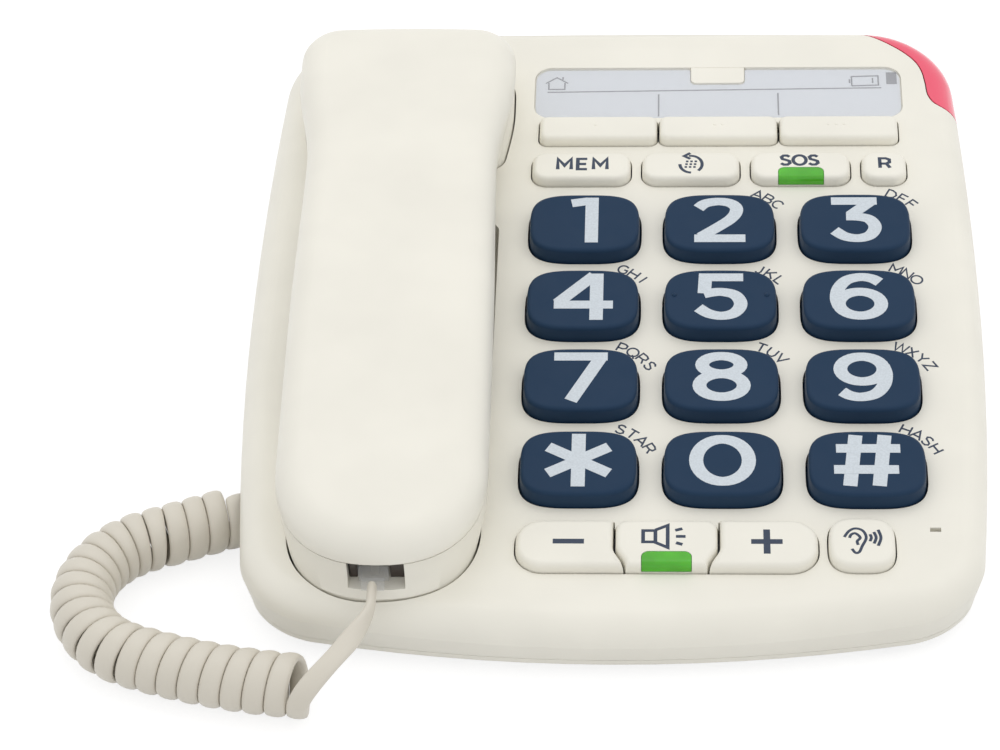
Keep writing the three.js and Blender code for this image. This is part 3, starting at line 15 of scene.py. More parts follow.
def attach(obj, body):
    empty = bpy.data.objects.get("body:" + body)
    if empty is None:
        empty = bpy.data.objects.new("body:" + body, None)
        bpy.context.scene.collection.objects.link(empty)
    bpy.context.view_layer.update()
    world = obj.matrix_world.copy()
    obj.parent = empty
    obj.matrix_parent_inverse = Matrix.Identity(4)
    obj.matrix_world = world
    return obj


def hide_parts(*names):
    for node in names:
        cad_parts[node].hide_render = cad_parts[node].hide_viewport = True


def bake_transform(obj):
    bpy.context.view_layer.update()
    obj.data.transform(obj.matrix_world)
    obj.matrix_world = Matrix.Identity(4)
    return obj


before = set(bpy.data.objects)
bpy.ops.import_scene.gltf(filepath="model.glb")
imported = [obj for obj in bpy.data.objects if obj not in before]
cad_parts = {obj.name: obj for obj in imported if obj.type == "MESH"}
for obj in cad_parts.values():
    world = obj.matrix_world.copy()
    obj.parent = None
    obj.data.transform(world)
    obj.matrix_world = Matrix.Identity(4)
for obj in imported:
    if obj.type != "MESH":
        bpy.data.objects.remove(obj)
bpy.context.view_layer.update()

bl_info = {
    "name": "Corded desk telephone",
    "version": (1, 0, 0),
    "blender": (4, 5, 0),
    "location": "View3D > Sidebar > Telephone",
    "description": "Models a corded desk telephone with large keys, piece by piece",
    "category": "Mesh",
}

MM = 0.001
SMOOTH_ANGLE = math.radians(35)
STRAND_SMOOTH_ANGLE = math.radians(60)
SHARP_ANGLE = math.radians(32)
FLAT_ANGLE = math.radians(0.4)
DECK_TILT = math.radians(9)
DECK_HEIGHT = 35.6
DECK = Matrix.Translation((0, 0, DECK_HEIGHT * MM)) @ Matrix.Rotation(DECK_TILT, 4, "X")
DECK_NORMAL = DECK.to_3x3() @ Vector((0, 0, 1))

# Base housing
BASE_WIDTH = 197.6
BASE_DEPTH = 226.6
FRONT_SIDE_BOW = 5.6
BACK_SIDE_BOW = 4.6
FRONT_BOW = 12
BACK_BOW = 0.8
FRONT_CORNER = 17
BACK_CORNER = 24
EDGE_RADIUS = 7
SIDE_TUCK = 2
WALL = 2.5
WELL_WALL = 2.8
DECK_THICKNESS = 3
CLEARANCE = 0.3
PART_LINE = 5
PART_GAP = 0.08
FOOT_HEIGHT = 2.6

# Keys
KEY_COLUMN_X = 28.5
KEY_COLUMN_PITCH = 37
KEY_ROW_PITCH = 29.8
KEY_TOP_ROW_S = 26.2
KEY_WIDTH = 30.6
KEY_DEPTH = 23.2
KEY_HEIGHT = 4.7
KEY_SQUARENESS = 3.4
KEY_GAP = 0.38
KEY_PROFILE = [
    (-0.9, -4.5), (-0.9, -3.3), (0, -3.3), (0.3, 3.5), (0.38, 3.9), (0.55, 4.25), (0.85, 4.52),
    (1.2, 4.65), (1.7, KEY_HEIGHT)]
KEY_PIP_X = 12.4
SMALL_KEY_HEIGHT = 3
SMALL_KEY_PROFILE = [
    (0, -4.5), (0, 0.2), (0.1, 1.5), (0.28, 2.05), (0.6, 2.5), (1.0, 2.82), (1.6, SMALL_KEY_HEIGHT)]
KEY_FRONT_RISE = 1.1
KEY_BACK_FALL = 0.45
KEY_SPACE = 0.6
FUNCTION_ROW = (51.6, 12.5)
FUNCTION_ROW_LEFT = -23.7
FUNCTION_KEY_WIDTHS = [27.6, 27.2, 27.6, 12.4]
FUNCTION_KEY_SPACE = 3.2
MEMORY_ROW = (67.6, 11)
MEMORY_KEY_WIDTH = 33.3
LOWER_ROW = (-88.5, 16.6)
SPEAKER_KEY_X = 14.2
SPEAKER_KEY_WIDTH = 26.4
SPEAKER_KEY_FOOT = 21
SPEAKER_KEY_CORNER = 3.2
VOLUME_KEY_WIDTH = 25
VOLUME_KEY_RADIUS = 7
BOOST_KEY = (63.4, -87.9, 8.4, 8.7, 3.2)
WINDOW_WIDTH = 12.6
WINDOW_DEPTH = 4.8
WINDOW_THICKNESS = 2.6
WINDOW_GAP = 0.08

# Label and lens
LABEL_WIDTH = 105
LABEL_BACK_S = 95.6
LABEL_FRONT_S = 73.9
LABEL_RADIUS = 5
LABEL_POCKET_DEPTH = 1
CARD_BOTTOM = 0.02 - LABEL_POCKET_DEPTH
CARD_THICKNESS = 0.3
LABEL_TAB_WIDTH = 15.6
LABEL_TAB_DEPTH = 6.8
LABEL_TAB_RADIUS = 1.6
LENS_EDGE = [
    (68.8, 112.7), (77.3, 106.5), (82.3, 102.1), (85.6, 97.8), (87.2, 93.5), (87.9, 88.8), (88.6, 83.1),
    (91.5, 79.1), (100.3, 76.3)]
LENS_HEIGHT = 9
MICROPHONE_SLOT = ((80.8, 83.6), (-82.7, -81.3), (-4, 1))

# Handset
HANDSET_X = -59
HANDSET_SHIFT = 0.4
HANDSET_SKEW = -0.0092
HANDSET_FRONT_S = -104.3
HANDSET_BACK_S = 95.6
HANDLE_HALF_WIDTH = 27.1
WAIST_HALF_WIDTH = 26.2
WAIST_START_S = -25
EAR_HALF_WIDTH = 30.5
FLARE_START_S = 38
FLARE_END_S = 76
FRONT_ROUND = 30
BACK_ROUND = 11
BACK_END_BOW = 1.4
HANDSET_TOP = 22.6
HANDSET_ARCH = 3.6
HANDSET_CROWN = 0.9
HANDSET_EDGE = 7.6
HANDSET_WALL = 2.2
SEAM_HEIGHT = 10.8
HANDLE_UNDERSIDE = 2.6
UNDERSIDE_INSET = 3
EAR_CUP_FRONT_S = 47.5
EAR_CUP_DEPTH = 13
MOUTH_CUP_BACK_S = -48
MOUTH_CUP_DEPTH = 9
MOUTH_FOOT_FRONT_S = -105.7
MOUTH_FOOT_ROUND = 24
MOUTH_FOOT_INSET = 2.6
MOUTH_FOOT_TOP = 4.2
CUP_ROUND = 9
CUP_DRAFT = 1
CUP_EDGE = 3
WELL_GAP = 0.6
CHANNEL_FRONT_S = -38
CHANNEL_BACK_S = 31
CHANNEL_DEPTH = 9
CHANNEL_HALF_WIDTH = 26.9
CHANNEL_DRAFT = 1.6
CHANNEL_CORNER = 3.5
SOUND_SLOT_MIDDLES = [-15.2, -9.6, -4, 1.6, 7.2]
SOUND_SLOT_LENGTH = 26
SOUND_SLOT_WIDTH = 2.2
PLUNGER_S = 62
PLUNGER_HOLE_RADIUS = 4.3
HANDSET_JACK_HEIGHT = 5.1
HANDSET_JACK_OPENING = (8.2, 6.2)
HANDSET_MOUTH_X = -58.2
HANDSET_MOUTH_WIDTH = 14.4
HANDSET_JACK_FACE_S = -100.4
HANDSET_JACK_BACK_S = -87.6
HANDSET_MOUTH_BOTTOM = 2.2

# Jacks, feet, screws and battery box
BAY_Y = -57
BAY_WIDTH = 25
BAY_TOP = 18
BAY_FACE = -89
BASE_JACK_Z = 10.4
JACK_WIDTH = 12.6
JACK_HEIGHT = 9.6
JACK_LENGTH = 14
LINE_JACK_X = 40
LINE_JACK_Z = 13.5
LINE_JACK_WIDTH = 15
LINE_JACK_HEIGHT = 12.6
PLUG_BOOT = 4
CORD_STANDOFF = 1.6
FOOT_PLACES = [(-68, -95), (68, -95), (-68, 92), (68, 92)]
FOOT_SEAT = {"radius": 6.8, "top": 3.4}
SCREW_PLACES = [(-76, -42.5), (-76, 39), (87.6, -70), (87.6, 70)]
SCREW_HOLE = {"radius": 1.7, "top": 9, "count": 20}
HEAD_SEAT = {"radius": 3.2, "top": 3.9}
BATTERY_MIDDLE = (28, 42)
BATTERY_ROOM = (33, 46.5, 15.8)
BATTERY_WALL = 1.5
DOOR_LEDGE = 3.5
DOOR_LEDGE_TOP = 4.1

# Curly cord
STRAND_WIDTH = 5
STRAND_THICKNESS = 2.4
COIL_DIAMETER = 16.4
CURL_PITCH = 5.5
BEND_PITCH = 5.2
CURL_GAP = 0.1
CURL_WIDTH = 5.6
CURL_STEPS = 24
STRAND_SIDES = 14
ROUTE_Z = COIL_DIAMETER / 2 + 0.15
ROUTE_START = (-76, -125)
ROUTE_HEADING = math.radians(174)
ROUTE_STRETCHES = [(45.4, math.radians(16.4)), (57, math.radians(133)), (24, 0)]
ROUTE_STEP = 0.25
FIRST_CURL_ANGLE = math.radians(195)
HANDSET_TAIL = ((14, 10), 27)
BASE_TAIL = ((5, 3), 15)

# Prints
PRINT_SINK = 0.05
PRINT_RISE = 0.03
MARK_LAYER = 0.015
FIGURE_LAYER = 0.012
FIGURE_CONTRAST = 0.82
FIGURE_DRAWN_HEIGHT = 17.3
WORD_NARROWING = 0.78
LETTER_START = 64.6
LETTER_SPACING = 11.2
LETTER_STROKE = 0.5

# Stage, in metres and radians
CAMERA_PLACE = (0.0165547, -0.7723608, 0.5937283)
CAMERA_PITCH = 0.645771823
CAMERA_YAW = 0.0624514437
CAMERA_ROLL = -0.037246
SENSOR_WIDTH = 36
FOCAL_LENGTH = 3.52469 * SENSOR_WIDTH
LAMP_PLACES = {"key_lamp": (-0.3, 0.35, 1.3), "fill_lamp": (0.7, 0.0, 1.2)}
LAMP_SIZE = 1.1
LAMP_POWER = 2.0
FLOOR_SIZE = 12
FLOOR_TONES = [(0.8, 0.8, 0.8, 1), (0.3, 0.3, 0.3, 1)]
FLOOR_GLOW = 0.8
SKY_STRENGTH = {"To Min": 0.84, "To Max": 1.0}
WHITE = (1, 1, 1, 1)


def linear(red, green, blue):
    """A screen colour of 0 to 255 as Blender's linear colour."""
    parts = [c / 255 for c in (red, green, blue)]
    return [c / 12.92 if c <= 0.04045 else ((c + 0.055) / 1.055) ** 2.4 for c in parts] + [1.0]


def colour_property(name, description, red, green, blue):
    return FloatVectorProperty(
        name=name, description=description, subtype="COLOR", size=4, min=0, max=1,
        default=linear(red, green, blue))


def length_property(name, description, default):
    return FloatProperty(name=name, description=description, default=default * MM, unit="LENGTH")


class TelephoneSizes(bpy.types.PropertyGroup):
    """Sizes of the visible detail."""
    edge_softness: length_property("Edge softness", "Rounding of the moulded edges", 0.35)
    digit_height: length_property("Digit height", "Height of the large figures on the keys", 17.6)
    digit_stroke: length_property("Digit stroke", "Width of the figures' upright strokes", 3.6)
    letter_height: length_property("Letter height", "Height of the letter groups on the deck", 3.0)
    letter_arc: length_property("Letter arc", "Radius of the arc under the letter groups", 17.35)


class TelephoneColours(bpy.types.PropertyGroup):
    """Finish colours."""
    ivory: colour_property("Ivory plastic", "Housing, handset and small keys", 238, 235, 224)
    navy: colour_property("Navy plastic", "Large keys", 30, 54, 80)
    figure: colour_property("Figure print", "Figures on the large keys", 205, 213, 220)
    ink: colour_property("Ink", "Letters and signs on the deck and the small keys", 40, 55, 78)
    green: colour_property("Green window", "Light windows", 78, 178, 36)
    red: colour_property("Red lens", "Ring light lens", 236, 80, 108)
    card: colour_property("Label card", "Paper under the clear cover", 216, 219, 224)
    # The label print colour also paints the grey patch of painted shade in the card's back right corner.
    label_ink_and_shade: colour_property("Label print", "Lines and signs on the card", 128, 128, 134)
    cord: colour_property("Cord", "Curly cord", 217, 211, 198)
    rubber: colour_property("Rubber", "Feet", 58, 58, 58)
    silicone: colour_property("Silicone", "Keypad mat", 185, 188, 192)
    board: colour_property("Circuit board", "Main circuit board", 46, 104, 60)
    dark: colour_property("Dark plastic", "Jacks and loudspeaker", 62, 54, 49)
    steel: colour_property("Steel", "Screws and capsules", 180, 182, 184)
    jacket: colour_property("Battery jacket", "Battery cells", 92, 111, 134)


# Selecting and shaping
def only(piece):
    bpy.ops.object.select_all(action="DESELECT")
    piece.select_set(True)
    bpy.context.view_layer.objects.active = piece


@contextmanager
def editing(piece):
    """Edit mode on one piece, with all of it selected at first."""
    only(piece)
    bpy.ops.object.mode_set(mode="EDIT")
    bpy.ops.mesh.select_mode(type="FACE")
    bpy.ops.mesh.select_all(action="SELECT")
    yield
    bpy.ops.object.mode_set(mode="OBJECT")


def choose(piece, test):
    """Selects the faces of a piece in edit mode that pass the test."""
    bpy.ops.mesh.select_all(action="DESELECT")
    mesh = bmesh.from_edit_mesh(piece.data)
    for face in mesh.faces:
        face.select_set(test(face))
    bmesh.update_edit_mesh(piece.data)


def shrink(inset):
    """Narrows what is selected of the base form by an inset on every side."""
    value = (1 - 2 * inset / BASE_WIDTH, 1 - 2 * inset / BASE_DEPTH, 1)
    bpy.ops.transform.resize(value=value, center_override=(0, 0, 0))


def apply_modifier(piece, kind, **settings):
    only(piece)
    modifier = piece.modifiers.new(kind.title(), kind)
    for key, value in settings.items():
        setattr(modifier, key, value)
    bpy.ops.object.modifier_apply(modifier=modifier.name)


def outward(piece):
    with editing(piece):
        bpy.ops.mesh.remove_doubles(threshold=0.01 * MM)
        bpy.ops.mesh.normals_make_consistent(inside=False)


def copied(piece, name):
    twin = piece.copy()
    twin.data = piece.data.copy()
    twin.name = name
    bpy.context.collection.objects.link(twin)
    return twin


def combine(piece, tool, operation="DIFFERENCE"):
    """Cuts, joins or intersects a piece with a tool piece, which is used up."""
    apply_modifier(piece, "BOOLEAN", object=tool, operation=operation, solver="MANIFOLD")
    bpy.data.objects.remove(tool)


def soften(piece, width):
    """Rounds the sharp edges of a piece."""
    with editing(piece):
        bpy.ops.mesh.dissolve_limited(angle_limit=FLAT_ANGLE)
    apply_modifier(
        piece, "BEVEL", width=width, segments=2, limit_method="ANGLE", angle_limit=SHARP_ANGLE,
        use_clamp_overlap=True, harden_normals=False)


def on_deck(piece):
    piece.data.transform(DECK)
    return piece


def finish(piece, name, material, body, replaced=()):
    """Names and paints a finished piece, lets it ride on its body and hides the CAD parts that it
    replaces.
    """
    piece.name = name
    piece.data.materials.clear()
    piece.data.materials.append(finish_of(material))
    only(piece)
    bpy.ops.object.shade_smooth_by_angle(angle=SMOOTH_ANGLE)
    apply_modifier(piece, "WEIGHTED_NORMAL", keep_sharp=True)
    if replaced:
        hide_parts(*replaced)
    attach(piece, body)


# Outlines: lists of (x, y) in millimetres, anticlockwise seen from above
def span(middle, size):
    return middle - size / 2, middle + size / 2


def arc(cx, cy, rx, ry, start, end, steps):
    angles = [math.radians(start + (end - start) * i / steps) for i in range(steps + 1)]
    return [(cx + rx * math.cos(a), cy + ry * math.sin(a)) for a in angles]


def quarter(cx, cy, radius, start, steps):
    return arc(cx, cy, radius, radius, start, start + 90, steps)


def rounded_rectangle(left, right, front, back, radius, steps=8):
    left, right, front, back = left + radius, right - radius, front + radius, back - radius
    centres = [(right, front), (right, back), (left, back), (left, front)]
    return [p for i, (x, y) in enumerate(centres) for p in quarter(x, y, radius, 90 * i - 90, steps)]


def superellipse(cx, cy, half_width, half_depth, exponent, count):
    points = []
    for i in range(count):
        angle = 2 * math.pi * i / count
        x = math.copysign(abs(math.cos(angle)) ** (2 / exponent), math.cos(angle))
        y = math.copysign(abs(math.sin(angle)) ** (2 / exponent), math.sin(angle))
        points.append((cx + half_width * x, cy + half_depth * y))
    return points


def grown(outline, growth):
    """Moves each point of an outline outwards, or inwards where growth is negative."""
    count = len(outline)
    moved = []
    for i, point in enumerate(outline):
        here = Vector(point)
        before = (here - Vector(outline[i - 1])).normalized()
        after = (Vector(outline[(i + 1) % count]) - here).normalized()
        normal = Vector((before.y + after.y, -before.x - after.x)).normalized()
        slant = max(0.5, normal.x * before.y - normal.y * before.x)
        moved.append(tuple(here + normal * (growth / slant)))
    return moved


def mirrored(line):
    return [(-x, y) for x, y in reversed(line)]


def smooth_step(value):
    t = min(1.0, max(0.0, value))
    return t * t * (3 - 2 * t)


def curve(points, steps=6):
    """A smooth line through points."""
    dense = []
    for i in range(len(points) - 1):
        p = [Vector(points[max(0, min(len(points) - 1, i + k))]) for k in (-1, 0, 1, 2)]
        for j in range(steps):
            t = j / steps
            dense.append(tuple(0.5 * (
                2 * p[1] + (p[2] - p[0]) * t + (2 * p[0] - 5 * p[1] + 4 * p[2] - p[3]) * t ** 2
                + (3 * p[1] - p[0] - 3 * p[2] + p[3]) * t ** 3)))
    return dense + [tuple(points[-1])]


def base_outline():
    half_x, half_y = BASE_WIDTH / 2, BASE_DEPTH / 2
    corners = [
        quarter(side * (half_x - radius), end * (half_y - radius), radius, start, 18)
        for side, end, radius, start in (
            (1, -1, FRONT_CORNER, -90), (1, 1, BACK_CORNER, 0), (-1, 1, BACK_CORNER, 90),
            (-1, -1, FRONT_CORNER, 180))]
    square = []
    for i, corner in enumerate(corners):
        square += corner
        start, end = Vector(corner[-1]), Vector(corners[(i + 1) % 4][0])
        square += [tuple(start.lerp(end, k / 14)) for k in range(1, 14)]
    bowed = []
    for x, y in square:
        side_bow, end_bow = (BACK_SIDE_BOW, BACK_BOW) if y > 0 else (FRONT_SIDE_BOW, FRONT_BOW)
        bowed.append((
            x * (1 - side_bow / half_x * (y / half_y) ** 2),
            y * (1 - end_bow / half_y * (x / half_x) ** 2)))
    return bowed


def half_width_at(s):
    waist = smooth_step((s - WAIST_START_S) / (FLARE_START_S - WAIST_START_S))
    flare = smooth_step((s - FLARE_START_S) / (FLARE_END_S - FLARE_START_S))
    return (
        HANDLE_HALF_WIDTH + (WAIST_HALF_WIDTH - HANDLE_HALF_WIDTH) * waist
        + (EAR_HALF_WIDTH - WAIST_HALF_WIDTH) * flare)


def grip_axis(s):
    return HANDSET_X + HANDSET_SHIFT + HANDSET_SKEW * s


def grip_outline(front, back, front_round, back_round, middle_steps=22, inset=0.0):
    """Outline of the handset or of one of its cups: a rounded front, and a flat back with corners."""
    power, end_steps = 2 / 2.3, 16
    side = []
    for i in range(end_steps + 1):
        angle = math.pi / 2 * i / end_steps
        s = front + front_round * (1 - max(0.0, math.cos(angle)) ** power)
        side.append(((half_width_at(s) - inset) * math.sin(angle) ** power, s))
    straight = back - back_round - BACK_END_BOW - front - front_round
    for i in range(1, middle_steps):
        s = front + front_round + straight * i / middle_steps
        side.append((half_width_at(s) - inset, s))
    widest = half_width_at(back) - inset
    end = quarter(widest - back_round, back - back_round, back_round, 0, end_steps)
    end += [((widest - back_round) * (1 - k / 5), back) for k in range(1, 6)]
    side += [(x, s - BACK_END_BOW * (x / widest) ** 2) for x, s in end]
    return [(x + grip_axis(s), s) for x, s in side + mirrored(side[1:-1])]


HANDSET_OUTLINE = grip_outline(HANDSET_FRONT_S, HANDSET_BACK_S, FRONT_ROUND, BACK_ROUND, 40)
EAR_CUP_OUTLINE = grip_outline(EAR_CUP_FRONT_S, HANDSET_BACK_S, CUP_ROUND, BACK_ROUND)
MOUTH_CUP_OUTLINE = grip_outline(HANDSET_FRONT_S, MOUTH_CUP_BACK_S, FRONT_ROUND, CUP_ROUND)
MOUTH_FOOT_OUTLINE = grip_outline(
    MOUTH_FOOT_FRONT_S, MOUTH_CUP_BACK_S - 1, MOUTH_FOOT_ROUND, CUP_ROUND, inset=MOUTH_FOOT_INSET)
CHANNEL_OUTLINE = rounded_rectangle(
    HANDSET_X - CHANNEL_HALF_WIDTH, HANDSET_X + CHANNEL_HALF_WIDTH, CHANNEL_FRONT_S, CHANNEL_BACK_S,
    CHANNEL_CORNER)


def shared_side(gap, steps=16):
    """The line between two of the lower keys; it leaves its sharp ends room to grow inwards."""
    middle, depth = LOWER_ROW
    narrow = SPEAKER_KEY_FOOT / 2
    line = []
    for i in (0, *range(2, steps - 1), steps):
        share = smooth_step(i / steps / 0.45)
        line.append((
            narrow + (SPEAKER_KEY_WIDTH / 2 - narrow) * share + gap, middle + depth * (i / steps - 0.5)))
    return line


def speaker_key_outline():
    radius = SPEAKER_KEY_CORNER
    x, s = SPEAKER_KEY_WIDTH / 2 - KEY_SPACE / 2 - radius, span(*LOWER_ROW)[1] - radius
    right = shared_side(-KEY_SPACE / 2)[:-2] + arc(x, s, radius, radius, 4, 90, 7)
    return [(x + SPEAKER_KEY_X, s) for x, s in right + mirrored(right)]


def volume_key_outline(side):
    outer = SPEAKER_KEY_WIDTH / 2 + VOLUME_KEY_WIDTH
    front, back = span(*LOWER_ROW)
    radius = VOLUME_KEY_RADIUS
    right = [
        *quarter(outer - radius, front + radius, radius, -90, 10),
        *quarter(outer - radius, back - radius, radius, 0, 10),
        *reversed(shared_side(KEY_SPACE / 2))]
    outline = right if side > 0 else mirrored(right)
    return [(x + SPEAKER_KEY_X, s) for x, s in outline]


def function_key_outline(index):
    left = FUNCTION_ROW_LEFT + sum(FUNCTION_KEY_WIDTHS[:index]) + index * FUNCTION_KEY_SPACE
    return rounded_rectangle(left, left + FUNCTION_KEY_WIDTHS[index], *span(*FUNCTION_ROW), 4.2)


def memory_key_outline(index):
    left = KEY_COLUMN_X - 1.5 * MEMORY_KEY_WIDTH - KEY_SPACE + index * (MEMORY_KEY_WIDTH + KEY_SPACE)
    return rounded_rectangle(left, left + MEMORY_KEY_WIDTH, *span(*MEMORY_ROW), 2.4, 5)


FUNCTION_KEYS = ["key_mem", "key_redial", "key_sos", "key_r"]
SMALL_KEYS = {
    **{f"key_memory_{i + 1}": memory_key_outline(i) for i in range(3)},
    **{name: function_key_outline(i) for i, name in enumerate(FUNCTION_KEYS)},
    "key_volume_down": volume_key_outline(-1),
    "key_speaker": speaker_key_outline(),
    "key_volume_up": volume_key_outline(1),
    "key_boost": superellipse(*BOOST_KEY, 64),
}
WINDOWS = {"key_sos": "sos_light_window", "key_speaker": "speaker_light_window"}
MEMORY_DOTS = {
    "key_memory_1": [(-6.2, 68.2)],
    "key_memory_2": [(27.4, 68.2), (29.6, 68.2)],
    "key_memory_3": [(59.5, 68.2), (61.7, 68.2), (63.9, 68.2)],
}
DIGIT_NAMES = ["1", "2", "3", "4", "5", "6", "7", "8", "9", "star", "0", "hash"]


def digit_centre(index):
    return (
        KEY_COLUMN_X + (index % 3 - 1) * KEY_COLUMN_PITCH,
        KEY_TOP_ROW_S - index // 3 * KEY_ROW_PITCH)


def digit_outline(index, growth=0.0):
    x, s = digit_centre(index)
    return superellipse(x, s, KEY_WIDTH / 2 + growth, KEY_DEPTH / 2 + growth, KEY_SQUARENESS, 72)


# Forms that grow from an outline
def stacked(name, outline, profile):
    """Grows a closed form upwards from a filled circle; the profile holds (inset, height) pairs.

    A third entry of a level is an outline that takes over from there.
    """
    (inset, height), *levels = profile
    ring = grown(outline, -inset)
    bpy.ops.mesh.primitive_circle_add(vertices=len(ring), radius=MM, fill_type="NGON")
    piece = bpy.context.object
    piece.name = name
    for vertex, (x, y) in zip(piece.data.vertices, ring):
        vertex.co = (x * MM, y * MM, height * MM)
    with editing(piece):
        for inset, above, *other in levels:
            outline = other[0] if other else outline
            rise = max(0.01, above - height)
            bpy.ops.mesh.extrude_region_move(TRANSFORM_OT_translate={"value": (0, 0, rise * MM)})
            wanted = grown(outline, -inset)
            mesh = bmesh.from_edit_mesh(piece.data)
            for vertex in [v for v in mesh.verts if v.select]:
                x, y = vertex.co.x / MM, vertex.co.y / MM
                apart = [(px - x) ** 2 + (py - y) ** 2 for px, py in ring]
                place = wanted[apart.index(min(apart))]
                vertex.co = (place[0] * MM, place[1] * MM, above * MM)
            bmesh.update_edit_mesh(piece.data)
            ring, height = wanted, above
    outward(piece)
    return piece


def prism(name, outline, bottom, top):
    return stacked(name, outline, [(0, bottom), (0, top)])


def placed(piece, name):
    bpy.ops.object.transform_apply(location=True, rotation=True, scale=True)
    piece.name = name
    return piece


def block(name, *spans):
    """A box from its spans along the three axes."""
    bpy.ops.mesh.primitive_cube_add(
        size=MM, location=[(low + high) / 2 * MM for low, high in spans],
        scale=[high - low for low, high in spans])
    return placed(bpy.context.object, name)


def rod(name, x, y, radius, top, bottom=0, count=32):
    bpy.ops.mesh.primitive_cylinder_add(
        vertices=count, radius=radius * MM, depth=(top - bottom) * MM,
        location=(x * MM, y * MM, (bottom + top) / 2 * MM))
    return placed(bpy.context.object, name)


def bay(gap=0):
    """The room round the base jack, up to the left side."""
    return block(
        "bay", (-BASE_WIDTH / 2 - 20, BAY_FACE + gap), span(BAY_Y, BAY_WIDTH + 2 * gap),
        (-1, BAY_TOP + gap))


def label_tab(gap, bottom, top):
    """The tab in the label's back edge, from which the cover is opened."""
    return prism("tab", rounded_rectangle(
        *span(KEY_COLUMN_X, LABEL_TAB_WIDTH + 2 * gap), LABEL_BACK_S - LABEL_TAB_DEPTH - gap,
        LABEL_BACK_S + 4, LABEL_TAB_RADIUS), bottom, top)


def label_field(gap, bottom, top):
    return prism("field", rounded_rectangle(
        *span(KEY_COLUMN_X, LABEL_WIDTH - 2 * gap), LABEL_FRONT_S + gap, LABEL_BACK_S - gap,
        LABEL_RADIUS - gap), bottom, top)


def slope_top(piece, outline):
    """Lowers the top of a small key, or of what lies on it, towards the key's back."""
    front = min(s for _, s in outline)
    depth = max(s for _, s in outline) - front
    for vertex in piece.data.vertices:
        if vertex.co.z > 0:
            vertex.co.z *= KEY_FRONT_RISE - KEY_BACK_FALL * (vertex.co.y / MM - front) / depth


def add_pips(key, places, height, radius):
    """Small domes that a finger can feel."""
    for x, s in places:
        bpy.ops.mesh.primitive_uv_sphere_add(
            segments=16, ring_count=8, radius=radius * MM, location=(x * MM, s * MM, height * MM))
        combine(key, placed(bpy.context.object, "pip"), "UNION")


# Materials
def add_node(tree, kind, output, values, **sources):
    """A node with inputs set or linked; gives the output of that name."""
    node = tree.nodes.new(kind)
    for key, value in values.items():
        node.inputs[key].default_value = value
    for key, source in sources.items():
        tree.links.new(source, node.inputs[key])
    return node.outputs[output]


def mixed_colour(tree, factor, *colours):
    node = tree.nodes.new("ShaderNodeMix")
    node.data_type = "RGBA"
    for socket, colour in zip([s for s in node.inputs if s.type == "RGBA"], colours):
        socket.default_value = colour
    tree.links.new(factor, next(s for s in node.inputs if s.name == "Factor" and s.type == "VALUE"))
    return next(s for s in node.outputs if s.type == "RGBA")


MATERIALS = {}


class Paint:
    """A new finish: one principled shader and patterns on Object coordinates."""

    def __init__(self, name, colour, roughness, **values):
        MATERIALS[name] = material = bpy.data.materials.new(name)
        material.use_nodes = True
        self.tree = material.node_tree
        self.inputs = self.tree.nodes["Principled BSDF"].inputs
        self.colour = colour
        for key, value in {"Base Color": colour, "Roughness": roughness, **values}.items():
            self.inputs[key].default_value = value
        self.place = self.tree.nodes.new("ShaderNodeTexCoord").outputs["Object"]

    def noise(self, scale, detail, roughness=0.5):
        values = {"Scale": scale, "Detail": detail, "Roughness": roughness}
        return add_node(self.tree, "ShaderNodeTexNoise", "Fac", values, Vector=self.place)

    def cells(self, scale):
        values = {"Scale": scale}
        return add_node(self.tree, "ShaderNodeTexVoronoi", "Distance", values, Vector=self.place)

    def ranged(self, pattern, low, high, to_low=0, to_high=1):
        values = {"From Min": low, "From Max": high, "To Min": to_low, "To Max": to_high}
        return add_node(self.tree, "ShaderNodeMapRange", "Result", values, Value=pattern)

    def shaded(self, pattern, low, high, dark, light):
        """Colours the surface between two brightnesses of its own colour."""
        tones = [[min(1, c * gain) for c in self.colour[:3]] + [1] for gain in (dark, light)]
        colour = mixed_colour(self.tree, self.ranged(pattern, low, high), *tones)
        self.tree.links.new(colour, self.inputs["Base Color"])

    def glossed(self, pattern, low, high):
        self.tree.links.new(self.ranged(pattern, 0.3, 0.7, low, high), self.inputs["Roughness"])

    def bumped(self, pattern, depth, strength):
        values = {"Strength": strength, "Distance": depth}
        normal = add_node(self.tree, "ShaderNodeBump", "Normal", values, Height=pattern)
        self.tree.links.new(normal, self.inputs["Normal"])


def moulded_plastic(name, colour, roughness=0.42, grain=1500, depth=0.000012, **values):
    """Plastic from a spark-eroded mould: fine grain, faint flow marks and uneven gloss."""
    paint = Paint(name, colour, roughness, **values)
    paint.shaded(paint.noise(45, 2), 0.3, 0.7, 0.975, 1.02)
    paint.glossed(paint.noise(160, 3), roughness - 0.05, roughness + 0.06)
    paint.bumped(paint.noise(grain, 2, 0.6), depth, 0.5)


def patterned(name, colour, roughness, tone, relief, **values):
    """A finish with noise in its tone: (scale, detail), low, high, dark, light, and in its relief."""
    paint = Paint(name, colour, roughness, **values)
    paint.shaded(paint.noise(*tone[0]), *tone[1:])
    paint.bumped(paint.noise(*relief[0]), *relief[1:])


def printed_ink(name, colour, roughness=0.5):
    """Screen printed ink: a fine uneven film."""
    patterned(name, colour, roughness, ((1900, 2), 0.35, 0.65, 0.93, 1.04), ((2600, 2), 0.000006, 0.4))


